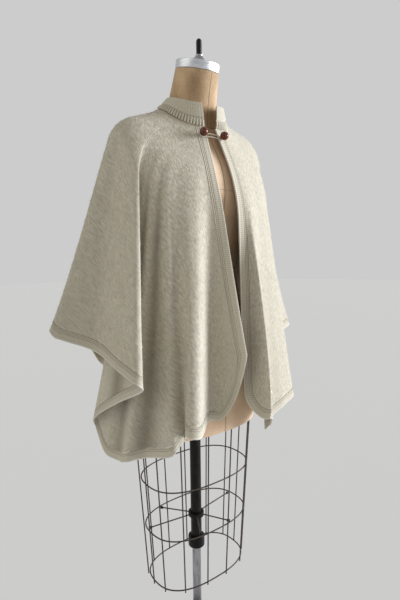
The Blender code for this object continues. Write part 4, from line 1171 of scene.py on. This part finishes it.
# %% Linen, seams and tapes
SEAM_HALF = 0.0009
SEAM_OFFSET = 0.004
PRINCESS_OFFSET, PRINCESS_SPREAD = 0.070, 0.10
NECK_SEAM_SLOPE = 0.30
WAIST_RISE, BUST_RISE, NECK_SEAM_RISE = 0.395, 0.575, 0.742
SEAM_DARK, SEAM_SHARE = (0.14, 0.085, 0.05), 0.5
BODY_DARK, BODY_LIGHT = (0.74, 0.53, 0.355), (0.90, 0.68, 0.48)
NECK_DARK, NECK_LIGHT = (0.33, 0.22, 0.12), (0.66, 0.465, 0.285)

linen, shader, start = finish_of("linen_tan", {
    "Roughness": 0.85, "Specular IOR Level": 0.3, "Sheen Weight": 0.08,
})
spot = start.spot()
side, depth, tall = (spot.part(axis) for axis in "XYZ")
weft = spot.stretched((0.006, 0.006, 0.0007)).noise(detail=2.0)
warp = spot.stretched((0.0008, 0.0008, 0.008)).noise(detail=2.0)
stain = spot.stretched((0.05, 0.05, 0.09)).noise(detail=3.0)
weave = 0.5 * weft + 0.5 * warp
cloth_tone = (0.6 * stain + 0.4 * weave).smooth(0.35, 0.65)
middle_seam = (side - SEAM_OFFSET).absolute().smooth(2.2 * SEAM_HALF, SEAM_HALF)
bust_way = (tall - (TORSO_UNDERSIDE + BUST_RISE)).absolute()
princess_place = PRINCESS_OFFSET + PRINCESS_SPREAD * bust_way
princess = (side.absolute() - princess_place).absolute().smooth(2.2 * SEAM_HALF, SEAM_HALF)
waist = (tall - (TORSO_UNDERSIDE + WAIST_RISE)).absolute().smooth(2.4 * SEAM_HALF, SEAM_HALF)
bust = bust_way.smooth(1.8 * SEAM_HALF, 0.6 * SEAM_HALF)
neck_plane = tall - NECK_SEAM_SLOPE * depth - (TORSO_UNDERSIDE + NECK_SEAM_RISE)
neck_seam = neck_plane.absolute().smooth(2.6 * SEAM_HALF, SEAM_HALF)
below_neck = (tall - (TORSO_UNDERSIDE + NECK_SEAM_RISE)).smooth(0.01, -0.01)
seams = middle_seam.larger(princess * below_neck).larger(waist).larger(neck_seam).larger(0.5 * bust)
body_tone = cloth_tone.mix(BODY_DARK, BODY_LIGHT)
neck_tone = cloth_tone.mix(NECK_DARK, NECK_LIGHT)
plain = neck_plane.smooth(-0.03, 0.01).mix(body_tone, neck_tone)
feed(shader, "Base Color", (SEAM_SHARE * seams).mix(plain, SEAM_DARK))
feed(shader, "Normal", bump(0.25 * weave + (1 - seams) * 0.75, 0.0005))
torso = closed_loft("form_torso", torso_rings, linen)
print("torso:", len(torso.data.polygons), "faces, seams at rises", WAIST_RISE, BUST_RISE, NECK_SEAM_RISE)

# %% [markdown]
# ## Buttons and loop
#
# The buttons are turned balls with a deep red-brown gloss. Each sits on a shank of wound thread, and one
# loop of twisted cord goes round both shanks, which is all that closes the cape.

# %% Buttons
BALL_RADIUS = 0.0098
BUTTON_INSET = {"right": 0.013, "left": 0.004}
BUTTON_DOWN = 0.038
SHANK_RADIUS = 0.0022
SHANK_LENGTH = 0.0030
LOOP_RADIUS = 0.0011
LOOP_HEIGHT = 0.0016
LOOP_BULGE = 0.0040
EYE_RADIUS, EYE_DEPTH = 0.0016, 0.0016
PLIES, PLY_TWIST = 2.0, 0.0028
BUTTON_DARK, BUTTON_RED = (0.012, 0.003, 0.002), (0.21, 0.048, 0.014)
CORD_DARK, CORD_LIGHT = (0.46, 0.41, 0.30), (0.78, 0.74, 0.63)

polish, shader, start = finish_of("button_polish", {
    "Roughness": 0.12, "Coat Weight": 0.2, "Coat Roughness": 0.03, "Specular IOR Level": 0.3,
})
spot = start.spot()
figure = spot.stretched((0.006, 0.006, 0.0022)).noise(detail=3.0, roughness=0.6)
feed(shader, "Base Color", figure.smooth(0.3, 0.7).mix(BUTTON_DARK, BUTTON_RED))

cord_finish, shader, start = finish_of("cord_cream", {"Roughness": 0.75, "Sheen Weight": 0.3})
cloth = start.mark("cloth")
ply = (cloth.part("X") * PLIES + cloth.part("Y") * (2 * math.pi / PLY_TWIST)).sine()
feed(shader, "Base Color", (0.5 + 0.5 * ply).mix(CORD_DARK, CORD_LIGHT))
feed(shader, "Normal", bump(0.5 + 0.5 * ply, 0.0004))


def frames_along(path, up, closed=False):
    """Two unit vectors square to a path at each of its points: its way x up, and that x its way."""
    if closed:
        ways = np.roll(path, -1, axis=0) - np.roll(path, 1, axis=0)
    else:
        ways = np.gradient(path, axis=0)
    ways = unit(ways)
    beside = unit(np.cross(ways, np.asarray(up, float)))
    return beside, np.cross(beside, ways)


def looped(number):
    """The quads of a grid of point numbers that closes on itself along both axes, facing as `quads` does."""
    after, beside = np.roll(number, -1, axis=0), np.roll(number, -1, axis=1)
    return np.stack([number, after, np.roll(after, -1, axis=1), beside], axis=-1).reshape(-1, 4)


def rod(name, path, radii, columns, finish, up=(0, 0, 1), closed=False, sharp=50):
    """A round rod along a path: a circle of this radius at each point, square to the path."""
    path = np.asarray(path, float)
    beside, above = frames_along(path, up, closed)
    angle = ring_angles(columns)
    circle = np.cos(angle)[None, :, None] * beside[:, None] + np.sin(angle)[None, :, None] * above[:, None]
    radii = (np.zeros(len(path)) + radii)[:, None, None]
    rings = path[:, None] + circle * radii
    if closed:
        faces = looped(np.arange(len(path) * columns).reshape(len(path), columns))
        thing = new_piece(name, rings.reshape(-1, 3), [faces], finish, sharp)
    else:
        thing = closed_loft(name, rings, finish, sharp)
    place = joined(angle[None, :], lengths_along(path, 0)[:, None]).reshape(-1, 3)
    fan_middles = np.zeros((0 if closed else 2, 3))
    mark(thing, "cloth", np.concatenate([place, fan_middles]))
    return thing


def turned(name, centre, axis, profile, columns, finish, sharp=35):
    """A turned piece: (radius, height) points carried round an axis that starts at centre."""
    axis = unit(np.asarray(axis, float))
    up = (0, 0, 1) if abs(axis[2]) < 0.9 else (0, 1, 0)
    beside = unit(np.cross(axis, np.asarray(up, float)))
    angle = ring_angles(columns)
    circle = np.cos(angle)[:, None] * beside + np.sin(angle)[:, None] * np.cross(axis, beside)
    radius, height = np.asarray(profile, float).T
    middles = np.asarray(centre, float) + height[:, None] * axis
    return closed_loft(name, middles[:, None] + radius[:, None, None] * circle[None], finish, sharp)


def on_cloth(inset, down, side, out):
    """A point this far in from a front edge and this far out from the cloth, with the way out."""
    turn = turn_in(inset, down, side)
    way = out_of_cape(turn, down)
    return cape_point(turn, down) + way * out, way


button_pieces = []
seats, ways = [], []
for side in ("right", "left"):
    seat, way = on_cloth(BUTTON_INSET[side], BUTTON_DOWN, side, BAND_RAISED + GAP)
    end = seat + way * SHANK_LENGTH
    shank_path = seat + way * np.linspace(0, SHANK_LENGTH, 5)[:, None]
    shank = rod("shank_" + side, shank_path, SHANK_RADIUS, 16, cord_finish)
    lift = np.linspace(math.radians(2), math.radians(168), 30)
    sphere = np.stack([BALL_RADIUS * np.sin(lift), BALL_RADIUS * (1 - np.cos(lift))], axis=-1)
    rim_height = sphere[-1, 1]
    eye = [(EYE_RADIUS, rim_height - 0.0002), (0.8 * EYE_RADIUS, rim_height - EYE_DEPTH)]
    ball = turned("ball_" + side, end + way * GAP, way, np.concatenate([sphere, eye]), 40, polish, sharp=60)
    button_pieces.append((shank, "button_shank_" + side, "cord_cream"))
    button_pieces.append((ball, "button_" + side, "button_brown"))
    seats.append(seat + way * LOOP_HEIGHT)
    ways.append(way)

across = unit(seats[1] - seats[0])
reach = SHANK_RADIUS + LOOP_RADIUS + 2 * GAP
half_turn = (math.pi * (np.linspace(0, 1, 17) - 0.5))[:, None]
middle_way = unit(ways[0] + ways[1])
path = []
for number, outward in ((0, -1), (1, 1)):
    way = ways[number]
    aside = unit(across - way * np.dot(across, way))
    upward = np.cross(way, aside) * outward
    path.append(seats[number] + reach * (np.cos(half_turn) * outward * aside + np.sin(half_turn) * upward))
    share = np.linspace(0, 1, 26)[1:-1, None]
    bulge = 4 * LOOP_BULGE * share * (1 - share)
    run = seats[number] + (seats[1 - number] - seats[number]) * share
    path.append(run + upward * reach + middle_way * bulge)
loop = rod("cord_loop", np.concatenate(path), LOOP_RADIUS, 12, cord_finish, up=middle_way, closed=True)
button_pieces.append((loop, "button_loop", "cord_cream"))
print("the shanks stand", np.round(1000 * np.linalg.norm(seats[1] - seats[0]), 1), "mm apart")

# %% [markdown]
# ## Neck cap, stand and cage
#
# All of this is turned metal and bent wire, so each piece is a profile carried round an axis, or a circle
# carried along a path. The finishes differ by how they were made: the cap is spun aluminium, brushed round;
# the tube and fittings are dipped in black enamel; the pole is chromed; the wires are painted dark brown.

# %% Metal finishes
METAL_RELIEF = 0.00012


def metal(name, low, high, grain, roughness, **fixed):
    """A hard finish: colour and roughness vary a little over a grain of this size in metres."""
    fixed = {socket.replace("_", " "): value for socket, value in fixed.items()}
    made, shader, start = finish_of(name, fixed)
    spot = start.spot()
    marks = spot.stretched(grain).noise(detail=4.0, roughness=0.6)
    feed(shader, "Base Color", marks.smooth(0.35, 0.65).mix(low, high))
    feed(shader, "Roughness", roughness[0] + (roughness[1] - roughness[0]) * marks)
    feed(shader, "Normal", bump(marks, METAL_RELIEF))
    return made


aluminium = metal(
    "aluminium_brushed", (0.44, 0.45, 0.47), (0.68, 0.69, 0.71), grain=(0.03, 0.03, 0.0006),
    roughness=(0.22, 0.42), Metallic=1.0, Anisotropic=0.5,
)
enamel = metal(
    "enamel_black", (0.005, 0.0045, 0.004), (0.013, 0.011, 0.010), grain=(0.012, 0.012, 0.03),
    roughness=(0.25, 0.5), Coat_Weight=0.06, Coat_Roughness=0.15, Specular_IOR_Level=0.15,
)
iron = metal(
    "iron_painted", (0.012, 0.012, 0.013), (0.032, 0.031, 0.030), grain=(0.0025, 0.0025, 0.0025),
    roughness=(0.4, 0.65), Coat_Weight=0.2, Coat_Roughness=0.3,
)
chrome = metal(
    "chrome_worn", (0.24, 0.24, 0.25), (0.42, 0.42, 0.44), grain=(0.012, 0.012, 0.05),
    roughness=(0.14, 0.34), Metallic=1.0,
)
wire_paint = metal(
    "wire_brown", (0.030, 0.020, 0.016), (0.075, 0.055, 0.045), grain=(0.004, 0.004, 0.01),
    roughness=(0.4, 0.65),
)
print("metal finishes:", aluminium.name, enamel.name, iron.name, chrome.name, wire_paint.name)

# %% [markdown]
# The neck slopes down towards the front, and what stands on it slopes with it. So the cap and its hub are
# turned pieces whose rings tip, fully in the cap and less and less up the hub; the finial is upright.

# %% Neck cap, hub and finial
CAP_RISE, CAP_RADIUS, CAP_HEIGHT = 0.8555, 0.0515, 0.0185
HUB_RADIUS, HUB_NECK, HUB_HEIGHT = 0.017, 0.0085, 0.016
FINIAL_RADIUS, FINIAL_HEIGHT = 0.0066, 0.035
EDGE = 0.0012
FINIAL_ROWS, FINIAL_THREADS, FINIAL_TIP, THREAD_DEPTH = 61, 14, 0.80, 0.0003


def leaning(name, centre_y, profile, slopes, columns, finish):
    """A turned piece whose rings tip down towards the front by slopes and move forwards as they rise, by the
    neck's own slope."""
    angle = ring_angles(columns)
    radius, height = np.asarray(profile, float).T[..., None]
    x, y = radius * np.cos(angle), radius * np.sin(angle)
    forward = NECK_SLOPE * (height - height[0])
    rings = joined(x, centre_y + y - forward, height + y * np.asarray(slopes)[:, None])
    return closed_loft(name, rings, finish, sharp=30)


def rounded(radius, low, high, edge, steps=5):
    """A straight side from low to high with quarter-round edges, as (radius, height) points."""
    angle = np.linspace(0, math.pi / 2, steps)
    foot = np.stack([radius - edge * (1 - np.sin(angle)), low + edge * (1 - np.cos(angle))], axis=-1)
    head = np.stack([foot[::-1, 0], high - (foot[::-1, 1] - low)], axis=-1)
    return np.concatenate([foot, head])


hardware = []
base = TORSO_UNDERSIDE + CAP_RISE
middle = TORSO[-1].lean
cap_top = base + CAP_HEIGHT
dish = [
    (CAP_RADIUS - 0.004, cap_top), (CAP_RADIUS - 0.0055, cap_top - 0.0008),
    (HUB_RADIUS + 0.004, cap_top - 0.0008), (HUB_RADIUS + 0.003, cap_top),
]
cap_profile = np.concatenate([rounded(CAP_RADIUS, base, cap_top, EDGE), dish])
cap = leaning("form_neck_cap", middle, cap_profile, [NECK_SLOPE] * len(cap_profile), 96, aluminium)
hardware.append((cap, "neck_cap", "cap_metal"))
base = base + CAP_HEIGHT + GAP
middle = middle - (CAP_HEIGHT + GAP) * NECK_SLOPE
hub_profile = np.array([
    (HUB_RADIUS - 0.0006, 0), (HUB_RADIUS, 0.001), (HUB_RADIUS, 0.004), (HUB_RADIUS - 0.0012, 0.0048),
    (0.0142, 0.007), (0.0128, 0.009), (0.0102, 0.011), (HUB_NECK, 0.013), (HUB_NECK, 0.0155),
    (HUB_NECK - 0.0005, HUB_HEIGHT),
])
slopes = NECK_SLOPE * np.clip((0.013 - hub_profile[:, 1]) / 0.009, 0, 1)
hub = leaning("form_cap_hub", middle, hub_profile + (0, base), slopes, 48, chrome)
hardware.append((hub, "cap_hub", "cap_metal"))
base = base + HUB_HEIGHT + GAP
middle = middle - HUB_HEIGHT * NECK_SLOPE
thread_rows = np.linspace(0, 1, FINIAL_ROWS)
tip = np.clip((thread_rows - FINIAL_TIP) / (1 - FINIAL_TIP), 0, 1)
sunk = (np.sin(thread_rows * 2 * math.pi * FINIAL_THREADS) > 0) * (tip == 0)
rod_radius = FINIAL_RADIUS * np.sqrt(1 - 0.75 * tip**2) - THREAD_DEPTH * sunk
finial_path = joined(0.0, middle, base + FINIAL_HEIGHT * thread_rows)
finial = rod("form_finial", finial_path, rod_radius, 28, enamel, up=(0, 1, 0))
hardware.append((finial, "finial", "black_enamel"))
print("the top of the finial is at", round(base + FINIAL_HEIGHT, 3), "m")

# %% [markdown]
# The form's tube slides over the pole, and a lock collar with a clamp screw holds it at its height. Tube and
# lock are bored through, so their profiles run up the outside and back down the bore, closed on themselves.

# %% Stand
TUBE_RADIUS, TUBE_BORE, POLE_RADIUS = 0.0145, 0.0125, 0.0116
TUBE_END_RISE, POLE_TOP_RISE = -0.331, -0.120
FLANGE_RADIUS, FLANGE_HEIGHT = 0.042, 0.006
LOCK_RADIUS, LOCK_HEIGHT, LOCK_BORE = 0.022, 0.028, 0.0121
SCREW_RADIUS, SCREW_LENGTH, SCREW_TURN = 0.004, 0.012, 36.5
KNOB_RADIUS, KNOB_HEIGHT, KNOB_FLUTES = 0.009, 0.008, 18
BASE_RADIUS, BASE_HEIGHT = 0.210, 0.016
BOSS_RADIUS, BOSS_HEIGHT = 0.030, 0.075
SCREW_ROWS, SCREW_THREAD_DEPTH = 40, 0.0004
FOOT, UP = (0, 0, 0), (0, 0, 1)


def pipe(name, outside, bore, low, high, columns, finish):
    """A hollow turned piece: one closed loop of (radius, height) points, up the outside and down the bore."""
    radius, height = np.concatenate([outside, [(bore, high), (bore, low)]]).T[..., None]
    angle = ring_angles(columns)
    rings = joined(radius * np.cos(angle), radius * np.sin(angle), height)
    faces = looped(np.arange(len(radius) * columns).reshape(len(radius), columns))[:, [0, 3, 2, 1]]
    return new_piece(name, rings.reshape(-1, 3), [faces], finish, sharp=30)


half = BASE_HEIGHT / 2
plinth = [
    (BASE_RADIUS - 0.004, 0), (BASE_RADIUS - 0.001, 0.001), (BASE_RADIUS, 0.004), (BASE_RADIUS, half - 0.001),
    (BASE_RADIUS - 0.002, half + 0.0012), (BASE_RADIUS - 0.012, half + 0.0035),
    (BASE_RADIUS - 0.030, BASE_HEIGHT), (0.120, BASE_HEIGHT + 0.0042),
    (BOSS_RADIUS + 0.030, BASE_HEIGHT + 0.010), (BOSS_RADIUS + 0.012, BASE_HEIGHT + 0.0165),
    (BOSS_RADIUS + 0.003, BASE_HEIGHT + 0.024), (BOSS_RADIUS, BASE_HEIGHT + 0.030),
    (BOSS_RADIUS - 0.0036, BOSS_HEIGHT - 0.002), (BOSS_RADIUS - 0.0055, BOSS_HEIGHT),
]
hardware.append((turned("stand_base", FOOT, UP, plinth, 128, iron, sharp=45), "base", "black_iron"))
profile = rounded(POLE_RADIUS, BOSS_HEIGHT + GAP, TORSO_UNDERSIDE + POLE_TOP_RISE, 0.001)
hardware.append((turned("stand_pole", FOOT, UP, profile, 64, chrome), "pole_lower", "chrome_pole"))
tube_end, tube_top = TORSO_UNDERSIDE + TUBE_END_RISE, TORSO_UNDERSIDE - FLANGE_HEIGHT - 2 * GAP
profile = rounded(TUBE_RADIUS, tube_end, tube_top, 0.0006)
tube = pipe("stand_tube", profile, TUBE_BORE, tube_end, tube_top, 64, enamel)
hardware.append((tube, "tube_upper", "black_enamel"))
flange_base = TORSO_UNDERSIDE - FLANGE_HEIGHT - GAP
profile = rounded(FLANGE_RADIUS, flange_base, flange_base + FLANGE_HEIGHT, EDGE)
hardware.append((turned("stand_flange", FOOT, UP, profile, 96, enamel), "underside_flange", "black_enamel"))
lock_top = tube_end - GAP
lock_base = lock_top - LOCK_HEIGHT
profile = rounded(LOCK_RADIUS, lock_base, lock_top, 0.0018)
lock = pipe("stand_lock", profile, LOCK_BORE, lock_base, lock_top, 72, enamel)
hardware.append((lock, "lock_collar", "black_enamel"))
screw_way = np.array([math.sin(math.radians(SCREW_TURN)), math.cos(math.radians(SCREW_TURN)), 0.0])
screw_start = np.array([0, 0, (lock_top + lock_base) / 2]) + screw_way * (LOCK_RADIUS + GAP)
thread_rows = np.linspace(0, SCREW_LENGTH, SCREW_ROWS)
screw_radii = SCREW_RADIUS - SCREW_THREAD_DEPTH * (np.arange(SCREW_ROWS) % 3 == 1)
screw = rod("stand_screw", screw_start + screw_way * thread_rows[:, None], screw_radii, 24, chrome)
hardware.append((screw, "lock_screw", "chrome_pole"))
knob_start = screw_start + screw_way * (SCREW_LENGTH + GAP)
profile = rounded(KNOB_RADIUS - 0.0003, 0, KNOB_HEIGHT, 0.001)
knob = turned("stand_knob", knob_start, screw_way, profile, 4 * KNOB_FLUTES, enamel)
hardware.append((knob, "lock_knob", "black_enamel"))
print("the stand has", len(hardware) - 3, "pieces")

# %% [markdown]
# The cage is three hoops of wire on one tapering oval, with fourteen uprights just outside them. Six arms
# from a hub on the tube reach out to the middle hoop, and each ends in a nut.

# %% Cage
WIRE_RADIUS = 0.0017
RING_HALF_WIDTH, RING_HALF_DEPTH, RING_SQUARENESS = 0.149, 0.096, 2.56
RING_RISES = (-0.137, -0.268, -0.405)
RING_SHARES = (1.0, 0.943, 0.886)
UPRIGHTS = 14
SPOKE_TURNS = (19.8, 104.5, 154.0, -154.0, -104.5, -19.8)
SPOKE_HUB_RADIUS, SPOKE_HUB_HEIGHT = 0.021, 0.012
NUT_RADIUS, NUT_CLEAR, NUT_LENGTH = 0.0036, 0.0026, 0.008
HOOP_POINTS, WIRE_COLUMNS = 108, 10


def cage_point(turn, share, outset, rise):
    """A point of the cage: the rounded section at this share of its full size, moved out by outset."""
    depth = RING_HALF_DEPTH * share + outset
    x, y = oval(RING_HALF_WIDTH * share + outset, depth, depth, RING_SQUARENESS, turn)
    return joined(x, y, TORSO_UNDERSIDE + rise)


for number, (rise, share) in enumerate(zip(RING_RISES, RING_SHARES), 1):
    path = cage_point(ring_angles(HOOP_POINTS), share, 0.0, rise)
    hoop = rod("cage_hoop_%d" % number, path, WIRE_RADIUS, WIRE_COLUMNS, wire_paint, closed=True)
    hardware.append((hoop, "cage_ring_%d" % number, "cage_wire"))
outset = 2 * WIRE_RADIUS + 2 * GAP
slope = (RING_SHARES[2] - RING_SHARES[0]) / (RING_RISES[2] - RING_RISES[0])
for number in range(UPRIGHTS):
    turn = 2 * math.pi * (number + 0.5) / UPRIGHTS
    rise = np.array([-2 * GAP, RING_RISES[2] - 0.004])
    ends = cage_point(turn, RING_SHARES[0] + slope * (rise - RING_RISES[0]), outset, rise)
    path = ends[0] + (ends[1] - ends[0]) * np.linspace(0, 1, 13)[:, None]
    name = "cage_upright_%02d" % (number + 1)
    upright = rod(name, path, WIRE_RADIUS, WIRE_COLUMNS, wire_paint, up=(1, 0.3, 0))
    hardware.append((upright, "cage_wire_%02d" % (number + 1), "cage_wire"))
hub_middle = TORSO_UNDERSIDE + RING_RISES[1]
low, high = hub_middle - SPOKE_HUB_HEIGHT / 2, hub_middle + SPOKE_HUB_HEIGHT / 2
profile = rounded(SPOKE_HUB_RADIUS, low, high, EDGE)
spoke_hub = pipe("cage_boss", profile, TUBE_RADIUS + GAP, low, high, 64, enamel)
hardware.append((spoke_hub, "cage_hub", "black_enamel"))
for number, degrees in enumerate(SPOKE_TURNS, 1):
    outer_end = cage_point(math.radians(degrees), RING_SHARES[1], -WIRE_RADIUS - NUT_CLEAR, RING_RISES[1])
    way = unit(outer_end - np.array([0, 0, hub_middle]))
    inner_end = np.array([0, 0, hub_middle]) + way * (SPOKE_HUB_RADIUS + GAP)
    nut_start = outer_end - way * NUT_LENGTH
    profile = rounded(NUT_RADIUS, 0, NUT_LENGTH, 0.0006, 3)
    nut = turned("cage_hex_%d" % number, nut_start, way, profile, 6, enamel)
    path = inner_end + (nut_start - way * GAP - inner_end) * np.linspace(0, 1, 7)[:, None]
    spoke = rod("cage_arm_%d" % number, path, WIRE_RADIUS, WIRE_COLUMNS, wire_paint)
    hardware.append((nut, "cage_nut_%d" % number, "black_enamel"))
    hardware.append((spoke, "cage_spoke_%d" % number, "cage_wire"))
print("hard pieces:", len(hardware))

# %% [markdown]
# ## What each piece stands for
#
# Every piece rides on the body that its solid belongs to, and takes that solid's place. The size that each
# sheet of cloth was cut to, before it folds, is printed as well.

# %% Pieces and bodies
BODIES = {
    "stand_base": "stand",
    "stand_pole": "stand",
    "stand_lock": "lock",
    "stand_screw": "screw",
    "stand_knob": "screw",
}


def dress(thing, node):
    """A piece rides on its body, the form unless the table names another, and takes its solid's place."""
    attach(thing, BODIES.get(thing.name, "form"))
    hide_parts(node)


for thing, node, slot in button_pieces + hardware:
    dress(thing, node)
dress(torso, "torso")
for name, panel in panels.items():
    dress(panel, name)
for name, band in bands.items():
    dress(band, "band_" + name)
dress(collar, "collar")
for loose in [*naps.values(), collar_nap, *band_stitches.values()]:
    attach(loose, "form")


def declare(thing, faces, lengthwise):
    """Prints what a sheet was cut to: the longest run round it and down it, and its own area."""
    longest = [float(lengths_along(faces, axis).max()) for axis in (0, 1)]
    area = float(cloth_area(faces).sum())
    longest[lengthwise] = max(longest[lengthwise], area / longest[1 - lengthwise])
    print(thing.name, "was cut", round(longest[0], 3), "by", round(longest[1], 3), "m:", round(area, 3), "m2")


for name, panel in panels.items():
    declare(panel, panel_faces[name], 1)
for name, band in bands.items():
    with_band = [band_stitches[name]]
    if name != "back":
        with_band += [piece for piece, node, slot in button_pieces if node.endswith("_" + name)]
    panel = "cape_back" if name == "back" else "cape_front_" + name
    declare(band, band_faces[name], 1)
declare(collar, collar_outer, 1)

# %% [markdown]
# ## Light and floor
#
# The photograph has soft daylight from the picture's right, with a plain grey ground. A wide, cool sun gives
# the light of that side, a weak warm one from the left behind the camera lifts the other, and the pale
# surroundings fill the shade. The camera sees those surroundings as the plain grey, while light that is
# scattered by a surface meets them darker and warmer. The floor is toned so that it meets the backdrop.

# %% Studio
GROUND_GREY = 0.604
FILL = (0.352, 0.341, 0.313)
FLOOR_RADIUS, FLOOR_MIDDLE = 14.0, 0.02
FLOOR_DROP, FLOOR_THICKNESS, FLOOR_GLOW = 0.0002, 0.02, 0.451
FLOOR_LOW, FLOOR_HIGH = (0.245, 0.245, 0.245), (0.255, 0.255, 0.255)

# right, ahead and up say where a sun stands, from the camera's heading; spread is its width in degrees.
Sun = namedtuple("Sun", "name right ahead up strength spread colour")
SUNS = [
    Sun("window", 0.97, 0.08, 0.09, 5.4, 32, (0.905, 0.935, 1.0)),
    Sun("room", -0.80, -0.35, 0.40, 0.60, 60, (1.0, 0.97, 0.92)),
]

world = bpy.data.worlds.new("studio")
bpy.context.scene.world = world
world.use_nodes = True
sky = Wire(world.node_tree)
scattered = sky.node("ShaderNodeLightPath", output=2)
tone = scattered.mix((GROUND_GREY, GROUND_GREY, GROUND_GREY), FILL)
world.node_tree.links.new(tone.socket, world.node_tree.nodes["Background"].inputs["Color"])
bpy.context.scene.view_settings.view_transform = "Standard"


def hang_sun(sun):
    """A far light from one direction, which its matrix makes the lamp's own z axis."""
    lamp_data = bpy.data.lights.new(sun.name, "SUN")
    lamp_data.energy = sun.strength
    lamp_data.angle = math.radians(sun.spread)
    lamp_data.color = sun.colour
    lamp = bpy.data.objects.new(sun.name, lamp_data)
    bpy.context.scene.collection.objects.link(lamp)
    level_right, _, level_ahead = camera_axes(CAMERA_HEADING, 0.0, 0.0)
    z = unit(sun.right * level_right + sun.ahead * level_ahead + np.array([0, 0, sun.up]))
    x = unit(np.cross((0.0, 0.0, 1.0), z))
    axes = np.stack([x, np.cross(z, x), z], axis=1)
    lamp.matrix_world = Matrix(axes.tolist()).to_4x4()


for sun in SUNS:
    hang_sun(sun)

floor_finish, shader, start = finish_of("floor_grey", {"Roughness": 0.9, "Specular IOR Level": 0.1})
spot = start.spot()
speckle = spot.stretched((0.3, 0.3, 0.3)).noise(detail=3.0)
feed(shader, "Base Color", speckle.mix(FLOOR_LOW, FLOOR_HIGH))
shader.inputs["Emission Color"].default_value = (1.0, 1.0, 1.0, 1.0)
shader.inputs["Emission Strength"].default_value = FLOOR_GLOW
floor_profile = [
    (FLOOR_RADIUS, -FLOOR_DROP - FLOOR_THICKNESS), (FLOOR_RADIUS, -FLOOR_DROP), (FLOOR_MIDDLE, -FLOOR_DROP),
]
floor = turned("floor", FOOT, UP, floor_profile, 96, floor_finish, sharp=40)
floor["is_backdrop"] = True
print("lights and floor are in place")

low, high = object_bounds()
print("visual box:", np.round(low, 3), np.round(high, 3))
